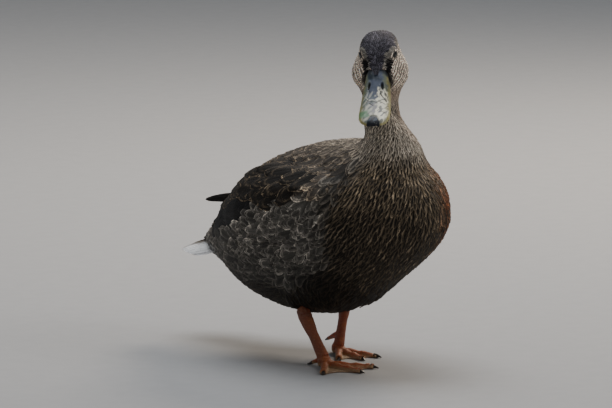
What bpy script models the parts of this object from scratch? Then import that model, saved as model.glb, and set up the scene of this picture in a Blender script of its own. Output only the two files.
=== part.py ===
"""A life-size mallard in brown, hen-like plumage, standing with its head turned to its right.

The bird faces -Y with its left side at +X, and stands on Z = 0. All lengths are in metres.
The flesh is modelled whole from lofts, blended by a voxel remesh, and parted by thin plane cuts.
The bill, eyes, wings, tail, legs, feet and claws are separate pieces let into it with a small gap.
"""

import math

import bmesh
import bpy
import numpy as np
from mathutils import Euler, Matrix, Vector

# ---- driving dimensions ----
GAP = 0.0003  # clearance between neighbouring pieces
VOXEL = 0.0030  # grain of the blended flesh
BLEND_PASSES = 7  # smoothing that turns the joins of the lofts into soft folds
FLESH_TRIANGLES = 1040  # before the parting cuts and the pockets
ROOM = 1.3 * GAP  # how much a pocket is larger than the piece in it, all round

HEAD_CENTRE = Vector((-0.0004, -0.0601, 0.2577))
HEAD_YAW = math.radians(-44.2)  # turned to the bird's right
HEAD_PITCH = math.radians(25.0)  # bill carried below the horizontal
HEAD_ROLL = math.radians(-2.0)
EYE_PLACE = Vector((0.0117, -0.0038, 0.0094))  # left eye, in the head's own frame
EYE_RADIUS = 0.0045

BILL_ROOT = 0.020  # where the bill starts inside the head, ahead of its centre
SOLE_THICKNESS = 0.0010  # of a web

# Sections of the trunk, tail end first: distance ahead of the origin, height of the middle,
# reach above it, reach below it, half width.
TRUNK = (
    (-0.170, 0.0815, 0.006, 0.006, 0.010),
    (-0.150, 0.0865, 0.013, 0.016, 0.021),
    (-0.120, 0.0960, 0.026, 0.035, 0.037),
    (-0.080, 0.1050, 0.053, 0.061, 0.0550),
    (-0.030, 0.1130, 0.0655, 0.0755, 0.065),
    (0.020, 0.1190, 0.070, 0.0758, 0.067),
    (0.060, 0.1250, 0.0645, 0.0566, 0.0625),
    (0.092, 0.1300, 0.050, 0.0408, 0.050),
    (0.113, 0.1330, 0.033, 0.028, 0.033),
    (0.124, 0.1345, 0.016, 0.015, 0.016),
    (0.128, 0.1350, 0.005, 0.005, 0.005),
)
# Neck, from inside the breast to inside the head: side, ahead, height, half width, half depth.
NECK = (
    (0.000, 0.0660, 0.1400, 0.0420, 0.0470),
    (0.000, 0.0735, 0.1650, 0.0350, 0.0385),
    (0.0004, 0.0735, 0.1830, 0.0268, 0.0292),
    (0.0006, 0.0680, 0.1965, 0.0182, 0.0200),
    (0.0009, 0.0620, 0.2070, 0.0145, 0.0160),
    (0.0026, 0.0575, 0.2200, 0.0144, 0.0156),
    (0.0034, 0.0560, 0.2340, 0.0142, 0.0152),
    (0.0028, 0.0555, 0.2480, 0.0142, 0.0152),
)
# Head, nape first, along its own axis: ahead of the centre, top, bottom, half width of the crown,
# half width of the cheeks, height of the middle of the cheeks, half height of the cheeks.
HEAD = (
    (-0.0320, 0.0040, -0.0040, 0.0040, 0.0040, 0.0000, 0.0040),
    (-0.0280, 0.0116, -0.0130, 0.0112, 0.0108, -0.0040, 0.0095),
    (-0.0190, 0.0174, -0.0215, 0.0149, 0.0168, -0.0086, 0.0134),
    (-0.0080, 0.0198, -0.0290, 0.0167, 0.0240, -0.0130, 0.0168),
    (0.0030, 0.0192, -0.0305, 0.0164, 0.0242, -0.0142, 0.0168),
    (0.0130, 0.0155, -0.0252, 0.0132, 0.0186, -0.0116, 0.0142),
    (0.0210, 0.0094, -0.0182, 0.0086, 0.0122, -0.0076, 0.0107),
    (0.0265, 0.0050, -0.0148, 0.0056, 0.0092, -0.0060, 0.0092),
)
CROWN_CURVE = 2.6  # 2 for a round crown, more for fuller shoulders over the eyes
# Upper bill, root first: ahead of the head's centre, height of the edge, height of the culmen,
# half width, how peaked the arch is.
UPPER_BILL = (
    (BILL_ROOT, -0.0112, 0.0058, 0.0098, 0.70),
    (0.0270, -0.0112, 0.0036, 0.0104, 0.75),
    (0.0370, -0.0124, -0.0010, 0.0114, 0.85),
    (0.0480, -0.0140, -0.0056, 0.0121, 0.85),
    (0.0600, -0.0148, -0.0094, 0.0128, 0.80),
    (0.0690, -0.0150, -0.0112, 0.0125, 0.75),
    (0.0745, -0.0156, -0.0124, 0.0100, 0.75),
    (0.0775, -0.0162, -0.0138, 0.0048, 0.75),
)
# Lower bill: ahead of the head's centre, height of the edge, height of the keel, half width.
LOWER_BILL = (
    (BILL_ROOT, -0.0118, -0.0160, 0.0088),
    (0.0300, -0.0120, -0.0168, 0.0094),
    (0.0450, -0.0140, -0.0180, 0.0098),
    (0.0600, -0.0152, -0.0182, 0.0104),
    (0.0690, -0.0154, -0.0178, 0.0096),
    (0.0735, -0.0160, -0.0174, 0.0052),
)
# Folded wing, shoulder first (left side): ahead, side, height, half depth, half thickness,
# lean of the blade out of upright in degrees.
WING = (
    (0.078, 0.0440, 0.1500, 0.012, 0.0050, 28),
    (0.066, 0.0520, 0.1500, 0.026, 0.0085, 28),
    (0.040, 0.0580, 0.1480, 0.036, 0.0105, 29),
    (0.000, 0.0590, 0.1450, 0.039, 0.0110, 30),
    (-0.050, 0.0520, 0.1395, 0.0380, 0.0100, 32),
    (-0.088, 0.0378, 0.1255, 0.0255, 0.0076, 38),
    (-0.118, 0.0240, 0.1145, 0.0135, 0.0052, 46),
)
# Wing tips, the closed primaries: the same columns. The left tip is carried above the right one.
WING_TIPS = {
    "left": (
        (-0.1184, 0.0238, 0.1144, 0.0132, 0.0050, 46),
        (-0.136, 0.0180, 0.1185, 0.0110, 0.0038, 48),
        (-0.156, 0.0105, 0.1190, 0.0075, 0.0026, 52),
        (-0.172, 0.0055, 0.1165, 0.0040, 0.0015, 56),
        (-0.178, 0.0032, 0.1150, 0.0016, 0.0008, 60),
    ),
    "right": (
        (-0.1184, 0.0238, 0.1144, 0.0132, 0.0050, 46),
        (-0.127, 0.0215, 0.1105, 0.0120, 0.0042, 44),
        (-0.137, 0.0180, 0.1050, 0.0085, 0.0030, 46),
        (-0.145, 0.0150, 0.1010, 0.0045, 0.0018, 48),
        (-0.148, 0.0140, 0.0998, 0.0018, 0.0009, 50),
    ),
}
# Tail: ahead, height, half width, half thickness, drop of the edges below the middle.
TAIL = (
    (-0.138, 0.0880, 0.0180, 0.0050, 0.004),
    (-0.155, 0.0835, 0.0260, 0.0045, 0.007),
    (-0.168, 0.0795, 0.0262, 0.0034, 0.008),
    (-0.180, 0.0755, 0.0195, 0.0024, 0.006),
    (-0.190, 0.0722, 0.0115, 0.0014, 0.003),
    (-0.197, 0.0700, 0.0040, 0.0008, 0.001),
)
# Legs: joints, which way the foot and the flat of the shank turn, the spread of the inner, middle
# and outer toes in degrees, and the heights of the root and tip of the hind toe with its reach
# backwards. The near hind toe rests on the ground, and the far one hangs clear of it.
LEGS = {
    "right": {
        "hip": Vector((-0.0310, 0.0160, 0.0700)),
        "hock": Vector((-0.0280, 0.0050, 0.0420)),
        "foot": Vector((-0.0270, -0.0225, 0.0050)),
        "yaw": 0.0,
        "turn": 0.0,
        "spread": (36.0, 3.0, -40.0),
        "hind": (0.0068, 0.0017, 0.0155),
    },
    "left": {
        "hip": Vector((0.0330, 0.0250, 0.0740)),
        "hock": Vector((0.0310, 0.0225, 0.0470)),
        "foot": Vector((0.0260, 0.0266, 0.0050)),
        "yaw": math.radians(-12.0),
        "turn": math.radians(14.0),
        "spread": (26.0, 0.0, -24.0),
        "hind": (0.0160, 0.0100, 0.0170),
    },
}
TOES = (0.0415, 0.0450, 0.0420)  # inner, middle and outer toe, without their claws
TOE_RADII = (0.0031, 0.0022)  # at the root and at the claw
CLAW_LENGTH = 0.0060

COLOURS = {
    "feather": (0.10, 0.080, 0.062),
    "head": (0.17, 0.155, 0.14),
    "wing": (0.055, 0.050, 0.045),
    "tail": (0.42, 0.40, 0.37),
    "bill": (0.33, 0.35, 0.20),
    "eye": (0.012, 0.009, 0.008),
    "leg": (0.42, 0.17, 0.065),
    "claw": (0.03, 0.025, 0.022),
}


# ---- shapes ----
def smooth_rows(rows, steps):
    """Rows of numbers run through by a Catmull-Rom curve, with `steps` rows to each stretch."""
    rows = np.asarray(rows, float)
    ends = np.vstack([2 * rows[0] - rows[1], rows, 2 * rows[-1] - rows[-2]])
    found = []
    for i in range(len(rows) - 1):
        a, b, c, d = ends[i : i + 4]
        for t in np.arange(steps) / steps:
            found.append(
                0.5 * (2 * b + (c - a) * t + (2 * a - 5 * b + 4 * c - d) * t**2
                       + (3 * b - a - 3 * c + d) * t**3)
            )
    return np.array(found + [rows[-1]])


def new_object(name, mesh, colour, smooth=True):
    obj = bpy.data.objects.new(name, mesh)
    bpy.context.scene.collection.objects.link(obj)
    if colour:
        mesh.materials.append(MATERIALS[colour])
    if smooth:
        mesh.shade_smooth()
    return obj


def face_outwards(bm):
    bmesh.ops.recalc_face_normals(bm, faces=bm.faces)
    if bm.calc_volume(signed=True) < 0:
        bmesh.ops.reverse_faces(bm, faces=bm.faces)


def loft(name, rings, colour=None):
    """A closed body through rings of points, each end shut by a fan round the ring's middle."""
    rings = [np.asarray(ring, float) for ring in rings]
    count = len(rings[0])
    bm = bmesh.new()
    loops = [[bm.verts.new(p) for p in ring] for ring in rings]
    for a, b in zip(loops, loops[1:]):
        for i in range(count):
            j = (i + 1) % count
            bm.faces.new((a[i], a[j], b[j], b[i]))
    for loop, ring in ((loops[0], rings[0]), (loops[-1], rings[-1])):
        middle = bm.verts.new(ring.mean(0))
        for i in range(count):
            bm.faces.new((loop[i], loop[(i + 1) % count], middle))
    face_outwards(bm)
    mesh = bpy.data.meshes.new(name)
    bm.to_mesh(mesh)
    bm.free()
    return new_object(name, mesh, colour)


def angles(count):
    return 2 * math.pi * np.arange(count) / count


def trunk_rings():
    turn = angles(40)
    for ahead, middle, above, below, half in smooth_rows(TRUNK, 3):
        reach = np.where(np.cos(turn) > 0, above, below)
        yield np.stack([half * np.sin(turn), np.full(40, -ahead), middle + reach * np.cos(turn)], 1)


def tube_rings(path, halves, count, depth_axis):
    """Ellipses square to a path. Each pair in halves is the half width and the half depth."""
    path = np.asarray(path, float)
    for i, (at, (wide, deep)) in enumerate(zip(path, halves)):
        along = Vector(path[min(i + 1, len(path) - 1)] - path[max(i - 1, 0)]).normalized()
        side = along.cross(Vector(depth_axis)).normalized()
        front = side.cross(along).normalized()
        turn = angles(count)[:, None]
        yield at + wide * np.cos(turn) * np.array(side) + deep * np.sin(turn) * np.array(front)


def head_matrix():
    turn = Euler((HEAD_PITCH, HEAD_ROLL, 0.0)).to_matrix().to_4x4()
    return Matrix.Translation(HEAD_CENTRE) @ Matrix.Rotation(HEAD_YAW, 4, "Z") @ turn


def neck_rings():
    rows = smooth_rows(NECK, 3)
    path = np.stack([rows[:, 0], -rows[:, 1], rows[:, 2]], 1)
    return tube_rings(path, rows[:, 3:5], 28, (0, -1, 0))


def head_rings():
    """A round crown over a pair of fuller cheeks, in the head's own frame."""
    turn = angles(36)
    for ahead, top, bottom, crown, cheek, low, half in smooth_rows(HEAD, 3):
        rise = (top + bottom) / 2 + (top - bottom) / 2 * np.cos(turn)
        over = np.abs((rise - top + crown) / crown) ** CROWN_CURVE
        upper = crown * np.clip(1 - over, 0.003, 1) ** (1 / CROWN_CURVE)
        lower = cheek * np.sqrt(np.clip(1 - ((rise - low) / half) ** 2, 0.003, 1))
        wide = np.sign(np.round(np.sin(turn), 6)) * (upper**7 + lower**7) ** (1 / 7)
        yield np.stack([wide, np.full(36, -ahead), rise], 1)


def upper_bill_rings():
    """A domed half round over a flat underside that curls in a little at the edges."""
    turn = np.linspace(0, math.pi, 8)
    for ahead, edge, top, half, peak in smooth_rows(UPPER_BILL, 2):
        rise = top - edge
        dome = np.stack([half * np.cos(turn), edge + rise * np.abs(np.sin(turn)) ** peak], 1)
        under = np.linspace(-1, 1, 5)[1:-1]
        floor = np.stack([under * half, edge + 0.0005 * np.abs(under)], 1)
        outline = np.vstack([dome, floor])
        yield np.stack([outline[:, 0], np.full(len(outline), -ahead), outline[:, 1]], 1)


def lower_bill_rings():
    turn = np.linspace(0, math.pi, 8)
    for ahead, edge, keel, half in smooth_rows(LOWER_BILL, 2):
        depth = (edge - keel) * np.abs(np.sin(turn)) ** 0.8
        bowl = np.stack([half * np.cos(turn), edge - GAP - depth], 1)
        over = np.linspace(-1, 1, 5)[1:-1]
        lid = np.stack([over * half, np.full(3, edge - GAP)], 1)
        outline = np.vstack([bowl, lid])
        yield np.stack([outline[:, 0], np.full(len(outline), -ahead), outline[:, 1]], 1)


def blade_rings(rows, side):
    """Lens-shaped slices of a folded wing, bowed round the back and leaning inwards at the top."""
    turn = angles(12)
    for ahead, out, height, half, thick, lean in smooth_rows(rows, 2):
        lean = math.radians(lean)
        down = half * np.cos(turn)
        off = thick * np.sin(turn) - 0.32 * half * np.cos(turn) ** 2
        across = out + down * math.sin(lean) + off * math.cos(lean)
        rise = height - down * math.cos(lean) + off * math.sin(lean)
        yield np.stack([side * across, np.full(12, -ahead), rise], 1)


def tail_rings():
    turn = angles(16)
    for ahead, height, half, thick, drop in smooth_rows(TAIL, 2):
        side = np.cos(turn)
        rise = thick * np.sin(turn) * np.sqrt(np.clip(1.02 - side**2, 0.02, 1))
        yield np.stack([half * side, np.full(16, -ahead), height + rise - drop * side**2], 1)


# ---- joining and cutting ----
def evaluated(obj):
    """The object's mesh with its modifiers applied and the modifiers gone."""
    graph = bpy.context.evaluated_depsgraph_get()
    mesh = bpy.data.meshes.new_from_object(obj.evaluated_get(graph), depsgraph=graph)
    obj.modifiers.clear()
    obj.data = mesh
    return obj


def boolean(obj, cutter, operation="DIFFERENCE"):
    modifier = obj.modifiers.new("cut", "BOOLEAN")
    modifier.object = cutter
    modifier.operation = operation
    modifier.solver = "EXACT"
    evaluated(obj)
    bpy.data.objects.remove(cutter)
    return obj


def sliced(obj, point, normal):
    """Keeps the side of a plane that its normal points away from, and closes the cut."""
    bm = bmesh.new()
    bm.from_mesh(obj.data)
    everything = bm.verts[:] + bm.edges[:] + bm.faces[:]
    cut = bmesh.ops.bisect_plane(
        bm, geom=everything, plane_co=point, plane_no=normal, clear_outer=True, dist=1e-6
    )
    rim = [e for e in cut["geom_cut"] if isinstance(e, bmesh.types.BMEdge)]
    bmesh.ops.holes_fill(bm, edges=rim)
    bmesh.ops.triangulate(bm, faces=bm.faces, ngon_method="EAR_CLIP")
    face_outwards(bm)
    bm.to_mesh(obj.data)
    bm.free()
    return obj


def copy_of(obj, name, colour=None):
    made = new_object(name, obj.data.copy(), None)
    if colour:
        made.data.materials.clear()
        made.data.materials.append(MATERIALS[colour])
    return made


def grown(obj):
    """A copy a little larger all round, to cut a clearance with."""
    made = new_object(obj.name + "_room", obj.data.copy(), None)
    normals = [v.normal.copy() for v in made.data.vertices]
    for vertex, normal in zip(made.data.vertices, normals):
        vertex.co += normal * ROOM
    return made


def let_in(piece, fleshes):
    """Clears room for a piece in each of the bodies that it reaches into."""
    for flesh in fleshes:
        boolean(flesh, grown(piece))
    return piece


def blended_flesh():
    """Trunk, neck and head as one skin, with soft folds where they meet."""
    flesh = loft("flesh", trunk_rings())
    neck = loft("neck_loft", neck_rings())
    head = loft("head_loft", head_rings())
    head.data.transform(head_matrix())
    for other in (neck, head, *(thigh_loft(side, -0.001) for side in LEGS)):
        boolean(flesh, other, "UNION")
    remesh = flesh.modifiers.new("blend", "REMESH")
    remesh.mode = "VOXEL"
    remesh.voxel_size = VOXEL
    soften = flesh.modifiers.new("soften", "SMOOTH")
    soften.factor = 0.5
    soften.iterations = BLEND_PASSES
    evaluated(flesh)
    flesh.data.calc_loop_triangles()
    thin = flesh.modifiers.new("thin", "DECIMATE")
    thin.ratio = FLESH_TRIANGLES / len(flesh.data.loop_triangles)
    return evaluated(flesh)


# Cuts that part the flesh, as a point and the direction of the part that is taken off there.
HEAD_CUT = (Vector((0.003, -0.056, 0.2355)), Vector((-0.18, -0.25, 0.95)).normalized())
NECK_CUT = (Vector((0.0, -0.072, 0.1810)), Vector((0.0, -0.32, 0.95)).normalized())
BREAST_CUT = (Vector((0.0, -0.052, 0.12)), Vector((0.0, -1.0, 0.0)))
RUMP_CUT = (Vector((0.0, 0.098, 0.10)), Vector((0.0, 1.0, 0.0)))


def parted(flesh):
    """The named parts of the flesh. Each cut leaves the clearance, half on each side of it."""

    def part(name, colour, cuts):
        made = copy_of(flesh, name, colour)
        for (point, normal), sign in cuts:
            sliced(made, point - sign * normal * GAP / 2, sign * normal)
        return made

    parts = {
        "head": part("head", "head", [(HEAD_CUT, -1)]),
        "neck": part("neck", "feather", [(HEAD_CUT, 1), (NECK_CUT, -1)]),
        "breast": part("breast", "feather", [(NECK_CUT, 1), (BREAST_CUT, -1)]),
        "trunk": part("trunk", "feather", [(NECK_CUT, 1), (BREAST_CUT, 1), (RUMP_CUT, 1)]),
        "rump": part("rump", "feather", [(RUMP_CUT, -1)]),
    }
    bpy.data.objects.remove(flesh)
    return parts


# ---- legs and feet ----
def thigh_loft(side, grow=0.0, colour=None):
    """The feathered drumstick, from inside the belly to just above the hock."""
    leg = LEGS[side]
    end = leg["hock"].lerp(leg["hip"], 0.18)
    path = [leg["hip"].lerp(end, t) for t in np.linspace(0, 1, 5)]
    halves = [(r + grow, 1.15 * r + grow) for r in np.linspace(0.0190, 0.0080, 5)]
    return loft("thigh_" + side, tube_rings(path, halves, 12, (0, -1, 0)), colour)


def shank(side):
    """The bare shank: a thick hock, a slim middle and a swollen lower end."""
    leg = LEGS[side]
    path = [leg["hock"].lerp(leg["foot"], t) for t in np.linspace(-0.10, 1.0, 9)]
    widths = smooth_rows([[0.0050], [0.0059], [0.0052], [0.0043], [0.0044], [0.0050], [0.0056]], 2)
    widths = widths[np.linspace(0, len(widths) - 1, 9).round().astype(int), 0]
    halves = [(0.76 * w, 1.22 * w) for w in widths]
    ahead = (-math.sin(leg["turn"]), -math.cos(leg["turn"]), 0)
    made = loft("shank_" + side, tube_rings(path, halves, 12, ahead), "leg")
    down = (leg["foot"] - leg["hock"]).normalized()
    return sliced(made, leg["foot"] - down * 0.003, down)


def toe_rings(length, radii, lift):
    """A toe along -Y from the origin, with three knuckles, resting on the ground along its length."""
    for t in np.linspace(-0.06, 1, 10):
        knuckle = 1 + 0.14 * math.cos(t * 6 * math.pi)
        r = (radii[0] + (radii[1] - radii[0]) * max(t, 0)) * knuckle
        turn = angles(7)
        height = r * 0.80 + lift * max(0.0, 1 - t / 0.30) ** 1.5
        yield np.stack([r * np.cos(turn), np.full(7, -t * length), height + r * np.sin(turn)], 1)


def toe_tips(side):
    """Ground places of the three toe tips, in the foot's own frame."""
    inward = 1 if side == "right" else -1
    for length, spread in zip(TOES, LEGS[side]["spread"]):
        turn = inward * math.radians(spread)
        yield Vector((math.sin(turn), -math.cos(turn), 0.0)) * length


def web_mesh(side):
    """The web: straight along the outer toes, and scooped between one toe tip and the next."""
    inner, middle, outer = toe_tips(side)
    heel = Vector((0.0, 0.0015, 0.0))
    outline = [heel]
    for a, b in ((inner, middle), (middle, outer)):
        for t in np.linspace(0.03, 0.97, 7):
            scoop = 1 - 0.20 * math.sin(math.pi * t)
            outline.append(a.lerp(b, t) * scoop * 0.97)
    bm = bmesh.new()
    face = bm.faces.new([bm.verts.new(p - Vector((0, 0, SOLE_THICKNESS / 2))) for p in outline])
    raised = bmesh.ops.extrude_face_region(bm, geom=[face])
    up = [v for v in raised["geom"] if isinstance(v, bmesh.types.BMVert)]
    bmesh.ops.translate(bm, verts=up, vec=(0, 0, 1.5 * SOLE_THICKNESS))
    face_outwards(bm)
    mesh = bpy.data.meshes.new("web")
    bm.to_mesh(mesh)
    bm.free()
    return new_object("web", mesh, None, smooth=False)


def claw(name, place, heading):
    """A tapering, down-curved claw set on a toe tip."""
    rings = []
    for t in np.linspace(-0.30, 1, 5):
        r = 0.0018 * (1 - 0.80 * max(t, 0)) + 0.0001
        turn = angles(7)
        height = 0.0021 - 0.0010 * max(t, 0) ** 2
        ahead = np.full(7, -t * CLAW_LENGTH)
        rings.append(np.stack([r * np.cos(turn), ahead, height + r * np.sin(turn)], 1))
    made = loft(name, rings, "claw")
    made.data.transform(Matrix.Translation(place) @ Matrix.Rotation(heading, 4, "Z"))
    return made


def foot(side):
    """Webbed toes in one piece with the ankle, and a separate claw let into each toe."""
    leg = LEGS[side]
    inward = 1 if side == "right" else -1
    place = Matrix.Translation((leg["foot"].x, leg["foot"].y, 0)) @ Matrix.Rotation(leg["yaw"], 4, "Z")
    made = web_mesh(side)
    headings = [inward * math.radians(spread) for spread in leg["spread"]]
    for number, (length, heading) in enumerate(zip(TOES, headings)):
        toe = loft(f"toe_{number}", toe_rings(length, TOE_RADII, 0.0026))
        toe.data.transform(Matrix.Rotation(heading, 4, "Z"))
        boolean(made, toe, "UNION")
    knob = loft("knob", tube_rings(
        [(0, 0.001, 0.0005), (0, 0.0008, 0.003), (0, 0.0006, 0.006), (0, 0.0004, 0.0085)],
        [(0.0046, 0.0050), (0.0054, 0.0060), (0.0052, 0.0058), (0.0040, 0.0046)],
        12, (0, -1, 0),
    ))
    boolean(made, knob, "UNION")
    sliced(made, Vector((0, 0, 0)), Vector((0, 0, -1)))
    made.data.transform(place)
    made.name = "foot_" + side
    made.data.materials.clear()
    made.data.materials.append(MATERIALS["leg"])
    down = (leg["foot"] - leg["hock"]).normalized()
    sliced(made, leg["foot"] - down * (0.003 - GAP), -down)
    for toe_name, tip, heading in zip(("inner", "middle", "outer"), toe_tips(side), headings):
        at = place @ (tip * 0.965)
        turn = leg["yaw"] + heading
        let_in(claw(f"claw_{toe_name}_{side}", at, turn), (made,))
    return made


def hind_toe(side, leg_parts):
    """The small raised toe behind the shank, with its claw."""
    leg = LEGS[side]
    high, low, reach = leg["hind"]
    root = Vector((leg["foot"].x, leg["foot"].y + 0.0015, high))
    tip = Vector((leg["foot"].x * 1.08, leg["foot"].y + reach, low))
    path = [root.lerp(tip, t) for t in np.linspace(-0.1, 1, 6)]
    sizes = [0.0023 * (1 - 0.30 * t) * (1 + 0.12 * math.sin(5 * t)) for t in np.linspace(0, 1, 6)]
    made = loft("hallux_" + side, tube_rings(path, [(s, s) for s in sizes], 8, (0, 0, 1)), "leg")
    for piece in leg_parts:
        boolean(made, grown(piece))
    along = (tip - root).normalized()
    points = [tip + along * t for t in np.linspace(-0.0015, 0.0045, 5)]
    radii = [0.0016 * (1 - 0.65 * t) for t in np.linspace(0, 1, 5)]
    for r, point in zip(radii, points):
        point.z = max(point.z - 0.2 * (0.0016 - r), 0.7 * r)
    rings = tube_rings(points, [(r, r) for r in radii], 8, (0, 0, 1))
    sliced(made, Vector((0, 0, 0)), Vector((0, 0, -1)))
    tipped = loft("claw_hind_" + side, rings, "claw")
    sliced(tipped, Vector((0, 0, 0)), Vector((0, 0, -1)))
    let_in(tipped, (made,))


# ---- the bird ----
def fit_wings_and_tail(parts):
    """The wings and the tail are let into the flesh that they lie on."""
    front, middle, back = parts["breast"], parts["trunk"], parts["rump"]
    for side, sign in (("left", 1), ("right", -1)):
        let_in(loft("wing_" + side, blade_rings(WING, sign), "wing"), (front, middle, back))
        tip = loft("wing_tip_" + side, blade_rings(WING_TIPS[side], sign), "wing")
        let_in(tip, (back,))
    let_in(loft("tail", tail_rings(), "tail"), (back,))


def fit_face(head):
    """The bill and the eyes are let into the head."""
    place = head_matrix()
    for name, rings in (("bill_upper", upper_bill_rings), ("bill_lower", lower_bill_rings)):
        piece = loft(name, rings(), "bill")
        piece.data.transform(place)
        let_in(piece, (head,))
    for side, sign in (("left", 1), ("right", -1)):
        at = place @ Vector((sign * EYE_PLACE.x, EYE_PLACE.y, EYE_PLACE.z))
        bpy.ops.mesh.primitive_uv_sphere_add(segments=16, ring_count=9, radius=EYE_RADIUS, location=at)
        ball = bpy.context.object
        ball.name = "eye_" + side
        ball.data.transform(ball.matrix_world)
        ball.matrix_world = Matrix.Identity(4)
        ball.data.shade_smooth()
        ball.data.materials.append(MATERIALS["eye"])
        let_in(ball, (head,))


def fit_legs(parts):
    """Each thigh is let into the belly, and the pieces of the leg into one another."""
    for side in LEGS:
        thigh = let_in(thigh_loft(side, 0.0, "feather"), (parts["trunk"], parts["rump"]))
        lower = let_in(shank(side), (thigh, parts["trunk"]))
        hind_toe(side, (lower, foot(side)))


def centre_on_origin():
    """Moves every piece so that the bird's bounding box is centred over the origin."""
    pieces = [o for o in bpy.context.scene.objects if o.type == "MESH"]
    points = np.array([o.matrix_world @ Vector(c) for o in pieces for c in o.bound_box])
    middle = (points.min(0) + points.max(0)) / 2
    for piece in pieces:
        piece.data.transform(Matrix.Translation((-middle[0], -middle[1], 0.0)))


def make_materials():
    found = {}
    for name, colour in COLOURS.items():
        material = bpy.data.materials.new(name)
        material.use_nodes = True
        shader = material.node_tree.nodes["Principled BSDF"]
        shader.inputs["Base Color"].default_value = (*colour, 1)
        shader.inputs["Roughness"].default_value = 0.15 if name == "eye" else 0.6
        shader.inputs["Metallic"].default_value = 0.0
        found[name] = material
    return found


for old in list(bpy.data.objects):
    bpy.data.objects.remove(old)
MATERIALS = make_materials()
PARTS = parted(blended_flesh())
fit_wings_and_tail(PARTS)
fit_face(PARTS["head"])
fit_legs(PARTS)
centre_on_origin()
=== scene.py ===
"""A standing mallard in female-type plumage: skin, feather coat, bill, eyes and legs on the CAD frame."""
import math

import bmesh
import bpy
import numpy as np
from mathutils import Euler, Matrix, Vector
from mathutils.bvhtree import BVHTree
from mathutils.kdtree import KDTree


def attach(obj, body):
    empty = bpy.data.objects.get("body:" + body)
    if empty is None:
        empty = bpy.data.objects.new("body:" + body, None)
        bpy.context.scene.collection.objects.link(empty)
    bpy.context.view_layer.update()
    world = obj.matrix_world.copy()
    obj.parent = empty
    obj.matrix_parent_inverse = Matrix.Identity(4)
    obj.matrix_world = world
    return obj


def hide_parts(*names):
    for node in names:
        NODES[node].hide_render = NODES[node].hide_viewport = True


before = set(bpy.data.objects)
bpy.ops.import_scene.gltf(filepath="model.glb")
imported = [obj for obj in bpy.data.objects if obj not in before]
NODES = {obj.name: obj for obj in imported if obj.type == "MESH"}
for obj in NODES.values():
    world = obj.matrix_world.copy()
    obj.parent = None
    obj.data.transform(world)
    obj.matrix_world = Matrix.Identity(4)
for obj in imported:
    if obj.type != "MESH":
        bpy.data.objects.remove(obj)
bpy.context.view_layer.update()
MM = 0.001
SIGNS = {"left": 1.0, "right": -1.0}

# ---- places ----
# head, wing and legs as in part.py, but in the frame, where everything is 34.5 mm further ahead
HEAD_CENTRE = Vector((-0.0004, -0.0946, 0.2577))
HEAD_YAW = math.radians(-44.2)
HEAD_PITCH = math.radians(25.0)
HEAD_ROLL = math.radians(-2.0)
HEAD = (
    Matrix.Translation(HEAD_CENTRE)
    @ Matrix.Rotation(HEAD_YAW, 4, "Z")
    @ Euler((HEAD_PITCH, HEAD_ROLL, 0.0)).to_matrix().to_4x4()
)
TO_HEAD = np.array(HEAD.inverted())
HEAD_TURN = np.array(HEAD.to_3x3())
# the middle of the neck and trunk, bill end first: side, ahead, height
SPINE = (
    (0.0040, 0.0905, 0.2500),
    (0.0048, 0.0910, 0.2360),
    (0.0045, 0.0925, 0.2220),
    (0.0030, 0.0970, 0.2070),
    (0.0030, 0.1030, 0.1930),
    (0.0010, 0.1040, 0.1760),
    (0.0000, 0.0960, 0.1560),
    (0.0000, 0.0760, 0.1380),
    (0.0000, 0.0500, 0.1260),
    (0.0000, 0.0150, 0.1180),
    (0.0000, -0.0250, 0.1110),
    (0.0000, -0.0650, 0.1030),
    (0.0000, -0.1050, 0.0950),
    (0.0000, -0.1450, 0.0870),
)
# the folded wing, front to back: ahead, out from the middle, height, half depth, lean in degrees
WING = (
    (0.1125, 0.044, 0.1500, 0.0120, 28.0),
    (0.1005, 0.052, 0.1500, 0.0260, 28.0),
    (0.0745, 0.058, 0.1480, 0.0360, 29.0),
    (0.0345, 0.059, 0.1450, 0.0390, 30.0),
    (-0.0155, 0.0520, 0.1395, 0.0380, 32.0),
    (-0.0535, 0.0378, 0.1255, 0.0255, 38.0),
    (-0.0835, 0.0240, 0.1145, 0.0135, 46.0),
)
LEG_HIPS = {"right": (-0.0310, 0.0505, 0.0700), "left": (0.0330, 0.0595, 0.0740)}
LEG_HOCKS = {"right": (-0.0280, 0.0395, 0.0420), "left": (0.0310, 0.0570, 0.0470)}
FOOT_PLACES = {"right": (-0.0270, 0.0120), "left": (0.0260, 0.0611)}

# ---- the eyes, where the photo shows them ----
EYE_SIDE = 0.0113
EYE_AHEAD = 0.0043
EYE_UP = 0.0078
EYE_TURN = math.radians(38.0)
EYE_TILT = math.radians(3.0)
BALL_RADIUS = 0.0042


def eye_frame(sign):
    """The eye's centre, outward axis, and its own ahead and up ways, in the head's frame."""
    centre = np.array([sign * EYE_SIDE, -EYE_AHEAD, EYE_UP])
    level = math.cos(EYE_TILT)
    axis = np.array([sign * math.cos(EYE_TURN) * level, -math.sin(EYE_TURN) * level, math.sin(EYE_TILT)])
    up = np.array([0.0, 0.0, 1.0]) - axis * axis[2]
    up = up / np.linalg.norm(up)
    return centre, axis, np.cross(up, axis) * sign, up


# ---- small tools ----
WAVES = 7


def linear(colour):
    """An 8-bit screen colour as linear light."""
    c = np.asarray(colour, float) / 255.0
    return np.where(c <= 0.04045, c / 12.92, ((c + 0.055) / 1.055) ** 2.4)


def smooth(low, high, value):
    """0 at low and 1 at high with soft ends, where low may be the greater of the two."""
    t = np.clip((np.asarray(value, float) - low) / (high - low), 0.0, 1.0)
    return t * t * (3.0 - 2.0 * t)


def unit(vectors):
    """The same directions with length 1."""
    return vectors / np.maximum(np.linalg.norm(vectors, axis=-1, keepdims=True), 1e-12)


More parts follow.
